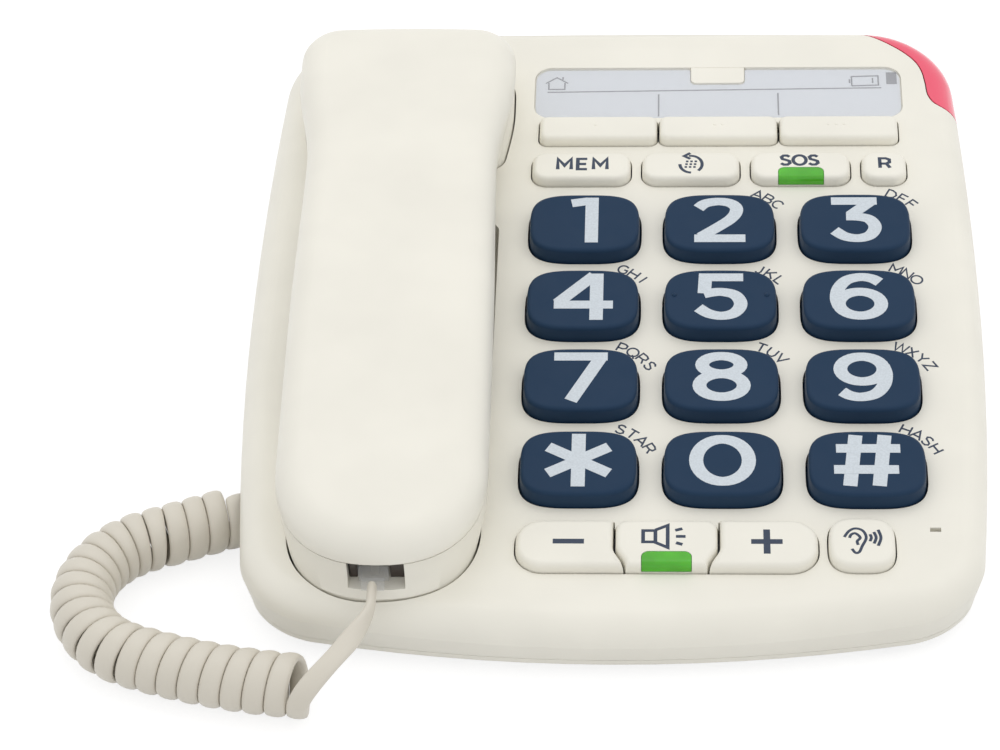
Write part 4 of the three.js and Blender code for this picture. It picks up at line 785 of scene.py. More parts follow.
def make_materials():
    c = bpy.context.scene.telephone_colours
    moulded_plastic("ivory_plastic", c.ivory)
    moulded_plastic("ivory_keys", c.ivory, 0.5, 1900)
    moulded_plastic("navy_plastic", c.navy, 0.5, 1700, 0.00002, **{"Specular IOR Level": 0.15})
    moulded_plastic("cord_plastic", c.cord, 0.4, 900, 0.000015)
    moulded_plastic("dark_plastic", c.dark, 0.35, 1200)
    moulded_plastic("foot_rubber", c.rubber, 0.85, 700, 0.00003)
    moulded_plastic("silicone", c.silicone, 0.75, 900)
    printed_ink("figure_print", c.figure)
    printed_ink("ink", c.ink)
    # This ink also paints the grey patch in the card's back right corner: painted shade standing for the
    # shaded pocket floor.
    printed_ink("label_print_and_shade", c.label_ink_and_shade, 0.7)
    patterned(
        "green_window", c.green, 0.22, ((160, 1), 0.3, 0.7, 0.86, 1.12), ((500, 2), 0.00001, 0.3),
        **{"Subsurface Weight": 0.15, "Subsurface Scale": 0.002})
    patterned(
        "red_lens", c.red, 0.16, ((22, 1), 0.3, 0.7, 0.92, 1.12), ((400, 2), 0.00001, 0.2),
        **{"Coat Weight": 0.4, "Coat Roughness": 0.08})
    patterned("printed_card", c.card, 0.75, ((700, 4), 0.3, 0.7, 0.975, 1.01), ((1500, 3), 0.00001, 0.4))
    patterned(
        "battery_jacket", c.jacket, 0.35, ((60, 2), 0.4, 0.6, 0.8, 1.15), ((800, 2), 0.00001, 0.3),
        Metallic=0.3)
    clear = Paint("clear_plastic", (0.92, 0.94, 0.97, 1), 0.06, Alpha=0.14)
    clear.bumped(clear.noise(60, 2), 0.00002, 0.15)
    steel = Paint("steel", c.steel, 0.32, Metallic=1.0)
    steel.glossed(steel.noise(900, 3), 0.25, 0.42)
    steel.bumped(steel.noise(1400, 2), 0.000008, 0.4)
    board = Paint("circuit_board", c.board, 0.4)
    board.shaded(board.cells(260), 0.1, 0.35, 0.7, 1.25)
    board.bumped(board.cells(260), 0.00004, 0.4)


def finish_of(name):
    if not MATERIALS:
        make_materials()
    return MATERIALS[name]


# Meshes that are built from rings of points
def tube(mesh, rings, closed=False):
    """Joins rings of vertices into a tube, with ends where it isn't closed; gives its side faces."""
    sides = len(rings[0])
    following = rings[1:] + rings[:1] if closed else rings[1:]
    faces = [
        mesh.faces.new((first[k], first[(k + 1) % sides], second[(k + 1) % sides], second[k]))
        for first, second in zip(rings, following) for k in range(sides)]
    if not closed:
        mesh.faces.new(rings[0][::-1])
        mesh.faces.new(rings[-1])
    return faces


def piece_of(name, mesh):
    bmesh.ops.recalc_face_normals(mesh, faces=mesh.faces)
    data = bpy.data.meshes.new(name)
    mesh.to_mesh(data)
    mesh.free()
    piece = bpy.data.objects.new(name, data)
    bpy.context.collection.objects.link(piece)
    return piece


# Prints: strokes drawn as flat ribbons that lie on a surface
def ribbon(points, width, closed, low, high, contrast=1.0):
    """One stroke as rings of a thin solid; its flat parts are thinner where contrast is below 1."""
    rings = []
    for i, point in enumerate(points):
        here = Vector(point)
        before = Vector(points[i - 1]) if i or closed else here
        after = Vector(points[(i + 1) % len(points)]) if i + 1 < len(points) or closed else here
        ahead, behind = (after - here), (here - before)
        ahead = (ahead if ahead.length else behind).normalized()
        behind = (behind if behind.length else ahead).normalized()
        heading = (ahead + behind).normalized()
        normal = Vector((-heading.y, heading.x))
        lean = max(0.45, normal.dot(Vector((-ahead.y, ahead.x))))
        half = width / 2 * (contrast + (1 - contrast) * abs(heading.y)) / lean
        left, right = here + normal * half, here - normal * half
        rings.append([(*left, low), (*right, low), (*right, high), (*left, high)])
    return rings, closed


def mark(points, width, surface=0.0, closed=False, order=0):
    """A stroke printed on a surface; one that crosses others lies a little higher than they do."""
    return ribbon(points, width, closed, surface - PRINT_SINK, surface + PRINT_RISE + MARK_LAYER * order)


def marks(lines, width, surface):
    return [mark(line, width, surface, order=i) for i, line in enumerate(lines)]


def print_mesh(name, strokes):
    """A piece from ribbons, in deck coordinates."""
    mesh = bmesh.new()
    for rings, closed in strokes:
        rows = [[mesh.verts.new([c * MM for c in corner]) for corner in ring] for ring in rings]
        tube(mesh, rows, closed)
    return piece_of(name, mesh)


def drawn_at(lines, x, y, across, up, turn=0.0):
    """Lines about the origin, scaled, turned and moved; one that ends where it starts is closed."""
    matrix = Matrix.Rotation(turn, 2)
    for order, line in enumerate(lines):
        closed = (Vector(line[0]) - Vector(line[-1])).length < 0.01
        points = [
            tuple(Vector((x, y)) + matrix @ Vector((px * across, py * up)))
            for px, py in (line[:-1] if closed else line)]
        yield order, points, closed


SIX_STEM = curve([
    (5.6, 5.3), (3.6, 6.7), (0.6, 7.25), (-3.0, 6.1), (-5.3, 3.0), (-5.95, -0.8), (-5.3, -3.9)])
FIGURES = {
    "0": [arc(0, 0, 6.7, 7.2, 0, 360, 36)],
    "1": [[(1.95, -8.65), (1.95, 8.65)], [(-3.6, 6.6), (0.4, 7.35), (3.75, 7.35)]],
    "2": [
        curve([(-5.7, 4.6), (-3.9, 6.4), (-0.6, 7.2), (2.6, 6.7), (4.4, 5.1), (4.5, 3.0), (3.2, 0.6),
               (0.6, -1.9), (-5.2, -6.6)]),
        [(-6.9, -7.15), (6.9, -7.15)]],
    "3": [
        [(-6.3, 7.3), (6.1, 7.3)], [(4.6, 7.3), (-1.2, 1.7)],
        curve([(-2.4, 1.2), (0.8, 1.1), (3.6, 0.3), (5.1, -1.8), (5.1, -3.9), (3.6, -6.2), (0.6, -7.2),
               (-2.9, -6.5), (-5.7, -4.2)])],
    "4": [[(3.7, -8.65), (3.7, 8.65)], [(-7.6, -3.0), (8.1, -3.0)], [(3.0, 8.0), (-6.6, -2.4)]],
    "5": [
        [(-5.5, 7.2), (6.1, 7.2)], [(-3.9, 8.6), (-4.3, 1.2)],
        curve([(-4.4, 0.9), (-2.6, 1.4), (0.2, 1.7), (3.6, 0.7), (5.2, -1.8), (5.0, -4.2), (3.2, -6.4),
               (0, -7.2), (-3.3, -6.3), (-5.9, -4.2)])],
    "6": [arc(0.2, -2.7, 5.6, 4.45, 0, 360, 30), SIX_STEM],
    "7": [[(-7.0, 7.2), (7.0, 7.2)], [(5.4, 7.2), (-2.4, -8.65)]],
    "8": [arc(0, 4.2, 5.0, 3.15, 0, 360, 30), arc(0, -3.15, 5.75, 4.05, 0, 360, 30)],
    "9": [arc(-0.2, 2.7, 5.6, 4.45, 0, 360, 30), [(-x, -y) for x, y in SIX_STEM]],
    "star": [arc(0, 0, 9, 9, start, start + 180, 1) for start in (30, 90, 150)],
    "hash": [
        [(-2.7, 8.65), (-4.6, -8.65)], [(4.7, 8.65), (2.8, -8.65)], [(-7.8, 4.1), (8.5, 4.1)],
        [(-8.5, -3.1), (7.9, -3.1)]],
}
LETTERS = {
    "A": [[(-1, -1), (0, 1), (1, -1)], [(-0.6, -0.35), (0.6, -0.35)]],
    "B": [[(-0.8, -1), (-0.8, 1), (0.3, 1), (0.7, 0.75), (0.7, 0.3), (0.3, 0.05), (-0.8, 0.05)],
          [(0.3, 0.05), (0.85, -0.2), (0.85, -0.75), (0.4, -1), (-0.8, -1)]],
    "C": [arc(0.1, 0, 0.95, 1, 45, 315, 14)],
    "D": [[(-0.85, -1), (-0.85, 1), (-0.1, 1), (0.6, 0.7), (0.95, 0), (0.6, -0.7), (-0.1, -1),
           (-0.85, -1)]],
    "E": [[(0.7, 1), (-0.7, 1), (-0.7, -1), (0.7, -1)], [(-0.7, 0), (0.55, 0)]],
    "F": [[(0.7, 1), (-0.7, 1), (-0.7, -1)], [(-0.7, 0), (0.5, 0)]],
    "G": [arc(0.05, 0, 0.95, 1, 45, 315, 14) + [(0.8, -0.6), (0.8, 0), (0.2, 0)]],
    "H": [[(-0.85, -1), (-0.85, 1)], [(0.85, -1), (0.85, 1)], [(-0.85, 0), (0.85, 0)]],
    "I": [[(0, -1), (0, 1)]],
    "J": [[(0.5, 1), (0.5, -0.4), (0.3, -0.85), (-0.1, -1), (-0.5, -0.75)]],
    "K": [[(-0.8, -1), (-0.8, 1)], [(0.8, 1), (-0.75, -0.3)], [(-0.2, 0.15), (0.85, -1)]],
    "L": [[(-0.6, 1), (-0.6, -1), (0.7, -1)]],
    "M": [[(-1, -1), (-1, 1), (0, -0.3), (1, 1), (1, -1)]],
    "N": [[(-0.85, -1), (-0.85, 1), (0.85, -1), (0.85, 1)]],
    "O": [arc(0, 0, 1.05, 1, 0, 360, 20)],
    "P": [[(-0.75, -1), (-0.75, 1), (0.2, 1), (0.75, 0.75), (0.75, 0.1), (0.2, -0.2), (-0.75, -0.2)]],
    "Q": [arc(0, 0, 1.05, 1, 0, 360, 20), [(0.3, -0.6), (1.0, -1.25)]],
    "R": [[(-0.8, -1), (-0.8, 1), (0.2, 1), (0.75, 0.75), (0.75, 0.15), (0.2, -0.12), (-0.8, -0.12)],
          [(0.25, -0.12), (0.8, -1)]],
    "S": [[(0.65, 0.7), (0.25, 0.97), (-0.3, 0.95), (-0.65, 0.65), (-0.5, 0.22), (0.1, 0.02), (0.6, -0.2),
           (0.7, -0.62), (0.3, -0.95), (-0.3, -0.97), (-0.75, -0.68)]],
    "T": [[(-0.85, 1), (0.85, 1)], [(0, 1), (0, -1)]],
    "U": [[(-0.8, 1), (-0.8, -0.3), (-0.5, -0.85), (0, -1), (0.5, -0.85), (0.8, -0.3), (0.8, 1)]],
    "V": [[(-0.95, 1), (0, -1), (0.95, 1)]],
    "W": [[(-1.3, 1), (-0.65, -1), (0, 1), (0.65, -1), (1.3, 1)]],
    "X": [[(-0.8, 1), (0.8, -1)], [(0.8, 1), (-0.8, -1)]],
    "Y": [[(-0.85, 1), (0, -0.05), (0.85, 1)], [(0, -0.05), (0, -1)]],
    "Z": [[(-0.75, 1), (0.75, 1), (-0.8, -1), (0.8, -1)]],
}
KEY_LETTERS = {1: "ABC", 2: "DEF", 3: "GHI", 4: "JKL", 5: "MNO", 6: "PQRS", 7: "TUV", 8: "WXYZ",
               9: "STAR", 11: "HASH"}

# Words on keys: text, middle x and s, half height, spacing, stroke width
KEY_WORDS = {
    "key_mem": ("MEM", -9.6, 51.8, 2.4, 5.0, 1.05),
    "key_sos": ("SOS", 51.05, 53.4, 2.2, 3.9, 1.0),
    "key_r": ("R", 74.7, 51.9, 2.2, 1, 1.0),
}
# Signs on keys: stroke width, then lines
REDIAL_X, REDIAL_S = 20.75, 51.6
KEY_SIGNS = {
    "key_redial": (
        0.9,
        *([(REDIAL_X + 3.1 * math.sin(math.radians(a)), REDIAL_S + 3.9 * math.cos(math.radians(a)))
           for a in range(start, end, 10)] for start, end in ((-10, 150), (180, 275))),
        [(20.55, 56.8), (18.85, 55.4), (20.55, 54.1)]),
    "key_volume_down": (1.7, [(-14.5, -88.5), (-6.6, -88.5)]),
    "key_speaker": (
        0.95, [(11.4, -84.6), (8.3, -84.6), (8.3, -88.7), (11.4, -88.7)],
        [(11.4, -84.4), (14.5, -82.7), (14.5, -90.7), (11.4, -88.9), (11.4, -84.4)],
        [(16.4, -84.5), (18.2, -83.9)], [(16.6, -86.7), (19.0, -86.7)], [(16.6, -89.0), (18.2, -89.6)]),
    "key_volume_up": (1.7, [(35.5, -88.45), (43.4, -88.45)], [(39.45, -84.1), (39.45, -92.8)]),
    "key_boost": (0.75, *(curve(line) for line in (
        [(58.9, -86.8), (60.2, -84.6), (61.9, -83.7), (63.7, -84.6), (64.4, -87.1), (63.3, -90.0),
         (62.5, -92.1), (61.5, -92.4), (60.7, -91.0)],
        [(60.2, -87.1), (60.7, -85.9), (61.8, -85.5), (62.9, -87.0), (62.1, -88.3), (62.3, -89.6)],
        [(65.4, -85.8), (65.7, -87.0), (65.3, -88.3)], [(66.4, -85.0), (66.9, -87.0), (66.3, -89.1)],
        [(67.5, -84.2), (68.1, -87.0), (67.3, -89.9)]))),
}
LABEL_STROKE = 0.45
# The grey patch in the card's back right corner is painted shade: it stands for the pocket floor lying in
# shade there.
PAINTED_CORNER_SHADE = ([(78.3, 88.8), (78.3, 93.9)], 3.0)
LABEL_LINES = [
    [(-20.3, 85.75), (75.3, 87.25)], [(11.6, 75.3), (11.6, 84.7)], [(45.7, 75.7), (45.7, 85.1)],
    [(-20.9, 89.6), (-17.7, 92.1), (-14.5, 89.6)],
    [(-20.0, 89.8), (-20.0, 87.0), (-15.4, 87.0), (-15.4, 89.8)],
    [(66.9, 88.1), (74.5, 88.4), (74.5, 92.4), (66.9, 92.1), (66.9, 88.1)], [(66.3, 89.3), (66.3, 91.0)],
    [(72.9, 89.3), (72.9, 91.5)], [(-16.0, 91.2), (-16.0, 92.3)]]


def letter_strokes(letter, x, y, half, width, turn=0.0, surface=0.0, narrowing=1.0):
    """The ribbons of one capital, turned about its middle."""
    lines = drawn_at(LETTERS[letter], x, y, half * narrowing, half, turn)
    return [mark(points, width, surface, closed, order) for order, points, closed in lines]


def word_strokes(word, x, y, half, spacing, width):
    start = x - spacing * (len(word) - 1) / 2
    return [
        stroke for i, letter in enumerate(word) for stroke in letter_strokes(
            letter, start + i * spacing, y, half, width, 0, SMALL_KEY_HEIGHT, WORD_NARROWING)]


# Cord
def route_frames():
    point = Vector((*ROUTE_START, ROUTE_Z))
    heading = ROUTE_HEADING
    stations = []
    for length, turn in ROUTE_STRETCHES:
        steps = round(length / ROUTE_STEP)
        for _ in range(steps):
            tangent = Vector((math.cos(heading), math.sin(heading), 0))
            stations.append((point.copy(), tangent, Vector((tangent.y, -tangent.x, 0)), turn / length))
            heading -= turn / steps
            point += tangent * (length / steps)
    return stations


def curl_points(stations):
    """Centre points of the strand through the curls, each with its width direction and width."""
    hardest = max(bend for *_, bend in stations)
    angles = [FIRST_CURL_ANGLE]
    for *_, bend in stations:
        pitch = CURL_PITCH + (BEND_PITCH - CURL_PITCH) * bend / hardest
        angles.append(angles[-1] + 2 * math.pi * ROUTE_STEP / pitch)
    turns = (angles[-1] - FIRST_CURL_ANGLE) / (2 * math.pi)
    radius = (COIL_DIAMETER - STRAND_THICKNESS) / 2
    points, at = [], 0
    for i in range(int(turns * CURL_STEPS)):
        angle = FIRST_CURL_ANGLE + 2 * math.pi * i / CURL_STEPS
        while angles[at + 1] <= angle:
            at += 1
        point, tangent, side, _ = stations[at]
        share = (angle - angles[at]) / (angles[at + 1] - angles[at])
        out = side * math.cos(angle) + Vector((0, 0, math.sin(angle)))
        points.append((point + tangent * (share * ROUTE_STEP) + out * radius, tangent))
    wide = []
    for i, (point, across) in enumerate(points):
        beside = [points[k][0] for k in (i - CURL_STEPS, i + CURL_STEPS) if 0 <= k < len(points)]
        room = min((other - point).length for other in beside)
        wide.append((point, across, min(CURL_WIDTH, room - CURL_GAP)))
    return wide


def tail_points(start, heading, to, direction, across, reach, steps):
    """The strand from the last curl to its end, turned on the way to the width direction there."""
    point, start_across, start_width = start
    a, b, c, d = point, point + heading * reach[0], to - direction * reach[1], to
    made = []
    for i in range(1, steps + 1):
        t = i / steps
        u = 1 - t
        place = a * u ** 3 + b * (3 * u * u * t) + c * (3 * u * t * t) + d * t ** 3
        turned = start_across.lerp(across, smooth_step(1.8 * t - 0.8)).normalized()
        made.append((place, turned, start_width + (STRAND_WIDTH - start_width) * t))
    return made


def cord_centreline():
    curls = curl_points(route_frames())
    into_handset = DECK.to_3x3() @ Vector((0, 1, 0))
    right, back = Vector((1, 0, 0)), Vector((0, 1, 0))
    plug = (HANDSET_X, HANDSET_FRONT_S - CORD_STANDOFF, HANDSET_JACK_HEIGHT)
    handset_end = DECK @ Vector([c * MM for c in plug]) / MM - into_handset * CLEARANCE
    first = tail_points(
        curls[0], (curls[0][0] - curls[1][0]).normalized(), handset_end - into_handset * STRAND_WIDTH,
        into_handset, DECK_NORMAL, *HANDSET_TAIL)
    base_end = Vector((BAY_FACE - PLUG_BOOT - CLEARANCE, BAY_Y, BASE_JACK_Z))
    second = tail_points(
        curls[-1], (curls[-1][0] - curls[-2][0]).normalized(), base_end - right * (STRAND_WIDTH / 2),
        right, back, *BASE_TAIL)
    return [
        (handset_end, DECK_NORMAL, STRAND_WIDTH), *first[::-1], *curls, *second,
        (base_end, back, STRAND_WIDTH)]


def strand_section(width):
    angles = [2 * math.pi * k / STRAND_SIDES for k in range(STRAND_SIDES)]
    return [
        (math.copysign(abs(math.cos(a)) ** 0.85, math.cos(a)) * width / 2,
         math.copysign(abs(math.sin(a)) ** 0.95, math.sin(a)) * STRAND_THICKNESS / 2) for a in angles]


def strand_mesh(name, centreline):
    """The flat strand as a closed tube with a rounded section and a map along its length."""
    mesh = bmesh.new()
    rings, along = [], [0.0]
    for i, (point, across, width) in enumerate(centreline):
        before = centreline[max(0, i - 1)][0]
        after = centreline[min(len(centreline) - 1, i + 1)][0]
        heading = (after - before).normalized()
        across = (across - heading * across.dot(heading)).normalized()
        up = across.cross(heading).normalized()
        rings.append([
            mesh.verts.new((point + across * w + up * t) * MM) for w, t in strand_section(width)])
        if i:
            along.append(along[-1] + (point - before).length)
    uv = mesh.loops.layers.uv.new("strand")
    for number, face in enumerate(tube(mesh, rings)):
        i, k = divmod(number, STRAND_SIDES)
        for loop, (station, side) in zip(face.loops, ((i, k), (i, k + 1), (i + 1, k + 1), (i + 1, k))):
            loop[uv].uv = (along[station] * MM, side / STRAND_SIDES)
    return piece_of(name, mesh)


# Operators
class TELEPHONE_OT_stage(bpy.types.Operator):
    """Sets up the floor, the plain light and the camera at the photograph's angle"""
    bl_idname = "telephone.stage"
    bl_label = "Stage"

    def execute(self, context):
        scene = context.scene
        scene.view_settings.view_transform = "Standard"
        bpy.ops.mesh.primitive_plane_add(size=FLOOR_SIZE, location=(0, 0, 0))
        floor = context.object
        floor.name = "floor"
        floor.data.materials.append(self.floor_material())
        self.world(scene)
        for name, place in LAMP_PLACES.items():
            bpy.ops.object.light_add(type="AREA", location=place)
            lamp = context.object
            lamp.name = name
            lamp.data.shape = "DISK"
            lamp.data.size = LAMP_SIZE
            lamp.data.energy = LAMP_POWER
            lamp.rotation_euler = (-Vector(place)).to_track_quat("-Z", "Y").to_euler()
        self.camera(scene)
        return {"FINISHED"}

    def floor_material(self):
        material = bpy.data.materials.new("studio_floor")
        material.use_nodes = True
        tree = material.node_tree
        inputs = tree.nodes["Principled BSDF"].inputs
        inputs["Roughness"].default_value = 0.9
        inputs["Specular IOR Level"].default_value = 0.1
        inputs["Emission Color"].default_value = WHITE
        seen = self.seen(tree)
        glow = add_node(tree, "ShaderNodeMapRange", "Result", {"To Max": FLOOR_GLOW}, Value=seen)
        tree.links.new(mixed_colour(tree, seen, *FLOOR_TONES), inputs["Base Color"])
        tree.links.new(glow, inputs["Emission Strength"])
        return material

    def seen(self, tree):
        """One where a surface is seen by the camera, in a reflection or through clear plastic."""
        path = tree.nodes.new("ShaderNodeLightPath")
        total = path.outputs["Is Camera Ray"]
        for other in ("Is Glossy Ray", "Is Transmission Ray"):
            either = tree.nodes.new("ShaderNodeMath")
            either.operation = "MAXIMUM"
            tree.links.new(total, either.inputs[0])
            tree.links.new(path.outputs[other], either.inputs[1])
            total = either.outputs[0]
        return total

    def world(self, scene):
        world = scene.world or bpy.data.worlds.new("World")
        scene.world = world
        world.use_nodes = True
        tree = world.node_tree
        tree.nodes.clear()
        strength = add_node(tree, "ShaderNodeMapRange", "Result", SKY_STRENGTH, Value=self.seen(tree))
        light = add_node(tree, "ShaderNodeBackground", "Background", {"Color": WHITE}, Strength=strength)
        output = tree.nodes.new("ShaderNodeOutputWorld")
        tree.links.new(light, output.inputs["Surface"])

    def camera(self, scene):
        level = Vector((math.cos(CAMERA_YAW), math.sin(CAMERA_YAW), 0))
        flat = Vector((-level.y, level.x, 0))
        ahead = flat * math.cos(CAMERA_PITCH) - Vector((0, 0, math.sin(CAMERA_PITCH)))
        up = level.cross(ahead)
        across = math.cos(CAMERA_ROLL) * level + math.sin(CAMERA_ROLL) * up
        upright = -math.sin(CAMERA_ROLL) * level + math.cos(CAMERA_ROLL) * up
        data = bpy.data.cameras.new("photograph_camera")
        data.sensor_width = SENSOR_WIDTH
        data.lens = FOCAL_LENGTH
        data.clip_start = 0.01
        camera = bpy.data.objects.new("photograph_camera", data)
        bpy.context.collection.objects.link(camera)
        turned = Matrix((across, upright, -ahead)).transposed()
        camera.matrix_world = Matrix.Translation(CAMERA_PLACE) @ turned.to_4x4()
        scene.camera = camera


class TELEPHONE_OT_curly_cord(bpy.types.Operator):
    """Winds the curly cord from the handset round to the jack in the base"""
    bl_idname = "telephone.curly_cord"
    bl_label = "Curly cord"

    def execute(self, context):
        centreline = cord_centreline()
        cord = strand_mesh("curly_cord_strand", centreline)
        cord.data.materials.append(finish_of("cord_plastic"))
        only(cord)
        bpy.ops.object.shade_smooth_by_angle(angle=STRAND_SMOOTH_ANGLE)
        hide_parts("curly_cord")
        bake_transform(cord)
        return {"FINISHED"}


def base_block(name):
    """The housing's outer form: an upright block, cut off by the sloped deck and rounded."""
    piece = prism(name, base_outline(), PART_LINE + PART_GAP, 75)
    top = Vector((0, 0, DECK_HEIGHT * MM))
    with editing(piece):
        bpy.ops.mesh.bisect(plane_co=top - DECK_NORMAL * (EDGE_RADIUS * MM), plane_no=DECK_NORMAL)
        bpy.ops.mesh.select_all(action="SELECT")
        bpy.ops.mesh.bisect(plane_co=top, plane_no=DECK_NORMAL, use_fill=True, clear_outer=True)
        choose(piece, lambda face: face.normal.z < -0.9)
        shrink(SIDE_TUCK)
        choose(piece, lambda face: face.normal.dot(DECK_NORMAL) > 0.999)
        bpy.ops.mesh.bevel(offset=EDGE_RADIUS * MM, segments=9, affect="EDGES")
    outward(piece)
    return piece


def lens_prism(name, gap):
    edge = curve([(x - gap, s - gap) for x, s in LENS_EDGE])
    (back_x, _), (_, front_s) = LENS_EDGE[0], LENS_EDGE[-1]
    outline = [(115, front_s - gap), (115, 130), (back_x - gap, 130), *edge]
    return on_deck(prism(name, outline, -LENS_HEIGHT - gap, EDGE_RADIUS))


class TELEPHONE_OT_housing(bpy.types.Operator):
    """Models the upper housing with its wells, openings and pocket, and the ring light lens"""
    bl_idname = "telephone.housing"
    bl_label = "Upper housing and lens"

    def execute(self, context):
        housing = base_block("housing")
        lens = copied(housing, "lens")
        combine(lens, lens_prism("lens_tool", 0), "INTERSECT")
        inner = base_block("inner")
        with editing(inner):
            shrink(WALL + 0.5)
            bpy.ops.transform.translate(value=-DECK_NORMAL * (DECK_THICKNESS * MM))
        for tool in self.kept_blocks():
            combine(inner, tool)
        combine(lens, copied(inner, "inner_twin"))
        combine(housing, inner)
        for tool in self.cutters():
            combine(housing, tool)
        softness = context.scene.telephone_sizes.edge_softness
        soften(housing, softness)
        soften(lens, softness * 0.6)
        finish(housing, "upper_housing_moulding", "ivory_plastic", "base", ["upper_housing"])
        finish(lens, "ring_light_lens_moulding", "red_lens", "base", ["ring_light_lens"])
        return {"FINISHED"}

    def kept_blocks(self):
        """Plastic that stays under the deck: round the wells, the channel and the bay."""
        rooms = [
            (EAR_CUP_OUTLINE, EAR_CUP_DEPTH, CUP_DRAFT, WELL_WALL),
            (MOUTH_FOOT_OUTLINE, MOUTH_CUP_DEPTH, CUP_DRAFT, WELL_WALL),
            (CHANNEL_OUTLINE, CHANNEL_DEPTH, CHANNEL_DRAFT, WALL)]
        blocks = [
            on_deck(stacked("kept_block", outline, [(draft - wall, -depth - wall), (-wall, 5)]))
            for outline, depth, draft, wall in rooms]
        return [*blocks, bay(WALL)]

    def cutters(self):
        slack = 2 * CLEARANCE
        pocket = label_field(0, -LABEL_POCKET_DEPTH, EDGE_RADIUS)
        combine(pocket, label_tab(-0.2, -3, -0.1))
        tools = [
            on_deck(stacked("ear_well", EAR_CUP_OUTLINE, [
                (CUP_DRAFT - WELL_GAP / 2, -EAR_CUP_DEPTH - CLEARANCE),
                (slack - WELL_GAP, 2 * EDGE_RADIUS)])),
            on_deck(stacked("mouth_well", MOUTH_FOOT_OUTLINE, [
                (CUP_DRAFT - WELL_GAP / 2, -MOUTH_CUP_DEPTH - CLEARANCE), (-WELL_GAP, 0.6),
                (-WELL_GAP, 2 * EDGE_RADIUS)])),
            on_deck(stacked("channel", CHANNEL_OUTLINE, [
                (CHANNEL_DRAFT, -CHANNEL_DEPTH), (0, 0.7), (0, EDGE_RADIUS)])),
            on_deck(pocket),
            on_deck(block("microphone_slot", *MICROPHONE_SLOT)),
            lens_prism("lens_seat", CLEARANCE),
            bay(),
            block("jack_hole", (BAY_FACE - 2, BAY_FACE + JACK_LENGTH), span(BAY_Y, JACK_WIDTH + slack),
                  span(BASE_JACK_Z, JACK_HEIGHT + slack)),
            block("line_jack_hole", span(LINE_JACK_X, LINE_JACK_WIDTH + slack), (94, 120),
                  span(LINE_JACK_Z, LINE_JACK_HEIGHT + slack)),
            on_deck(rod("plunger_hole", HANDSET_X, PLUNGER_S, PLUNGER_HOLE_RADIUS, -EAR_CUP_DEPTH + 1,
                        -EAR_CUP_DEPTH - 6)),
        ]
        for s in SOUND_SLOT_MIDDLES:
            slot = span(HANDSET_X, SOUND_SLOT_LENGTH) + span(s, SOUND_SLOT_WIDTH)
            tools.append(on_deck(prism(
                "sound_slot", rounded_rectangle(*slot, 1.05), -CHANNEL_DEPTH - 4, -CHANNEL_DEPTH + 1)))
        holes = [digit_outline(index, KEY_GAP) for index in range(12)]
        holes += [grown(outline, KEY_GAP) for outline in SMALL_KEYS.values()]
        return tools + [on_deck(prism("key_hole", hole, -DECK_THICKNESS - 2, 3)) for hole in holes]


class TELEPHONE_OT_floor_plate(bpy.types.Operator):
    """Models the lower housing: floor plate with the battery box, seats for the feet and screw holes"""
    bl_idname = "telephone.floor_plate"
    bl_label = "Lower housing"

    def execute(self, context):
        edge = [
            (x * (1 - 2 * SIDE_TUCK / BASE_WIDTH), y * (1 - 2 * SIDE_TUCK / BASE_DEPTH))
            for x, y in base_outline()]
        plate = stacked("plate", edge, [(1.2, FOOT_HEIGHT), (0.3, FOOT_HEIGHT + 0.9), (0, PART_LINE)])
        room_top = BATTERY_ROOM[2]
        box = self.battery_block(BATTERY_WALL, FOOT_HEIGHT + 0.2, room_top + BATTERY_WALL)
        combine(plate, box, "UNION")
        tools = [
            self.battery_block(0, 0, room_top), self.battery_block(DOOR_LEDGE, 0, DOOR_LEDGE_TOP), bay(),
            *(rod("foot_seat", x, y, **FOOT_SEAT) for x, y in FOOT_PLACES),
            *(rod("screw", x, y, **form) for x, y in SCREW_PLACES for form in (SCREW_HOLE, HEAD_SEAT))]
        for tool in tools:
            combine(plate, tool)
        soften(plate, 0.2 * MM)
        finish(plate, "floor_plate_moulding", "ivory_plastic", "base", ["lower_housing"])
        return {"FINISHED"}

    def battery_block(self, growth, bottom, top):
        sides = [span(middle, size + 2 * growth) for middle, size in zip(BATTERY_MIDDLE, BATTERY_ROOM)]
        return block("battery", *sides, (bottom, top))


class TELEPHONE_OT_digit_keys(bpy.types.Operator):
    """Models one large key, copies it to the twelve places and prints the figures"""
    bl_idname = "telephone.digit_keys"
    bl_label = "Large keys"

    def execute(self, context):
        first = stacked("digit_key", digit_outline(0), KEY_PROFILE)
        x0, s0 = digit_centre(0)
        for index, label in enumerate(DIGIT_NAMES):
            x, s = digit_centre(index)
            body = f"key_{label}"
            key = copied(first, f"{body}_cap")
            key.data.transform(Matrix.Translation(((x - x0) * MM, (s - s0) * MM, 0)))
            if label == "5":
                places = [(x - KEY_PIP_X, s + 1.2), (x + KEY_PIP_X, s + 1.2)]
                add_pips(key, places, KEY_HEIGHT - 0.25, 0.75)
            figure = self.figure(context.scene.telephone_sizes, label, x, s + 0.6)
            finish(on_deck(key), f"{body}_cap", "navy_plastic", body, [body])
            finish(on_deck(figure), f"figure_{label}", "figure_print", body)
        bpy.data.objects.remove(first)
        return {"FINISHED"}

    def figure(self, size, label, x, s):
        stretch = size.digit_height / MM / FIGURE_DRAWN_HEIGHT
        strokes = [
            ribbon(points, size.digit_stroke / MM, closed, KEY_HEIGHT - PRINT_SINK,
                   KEY_HEIGHT + PRINT_RISE + FIGURE_LAYER * order, FIGURE_CONTRAST)
            for order, points, closed in drawn_at(FIGURES[label], x, s, stretch ** 0.5, stretch)]
        return print_mesh(f"figure_{label}", strokes)


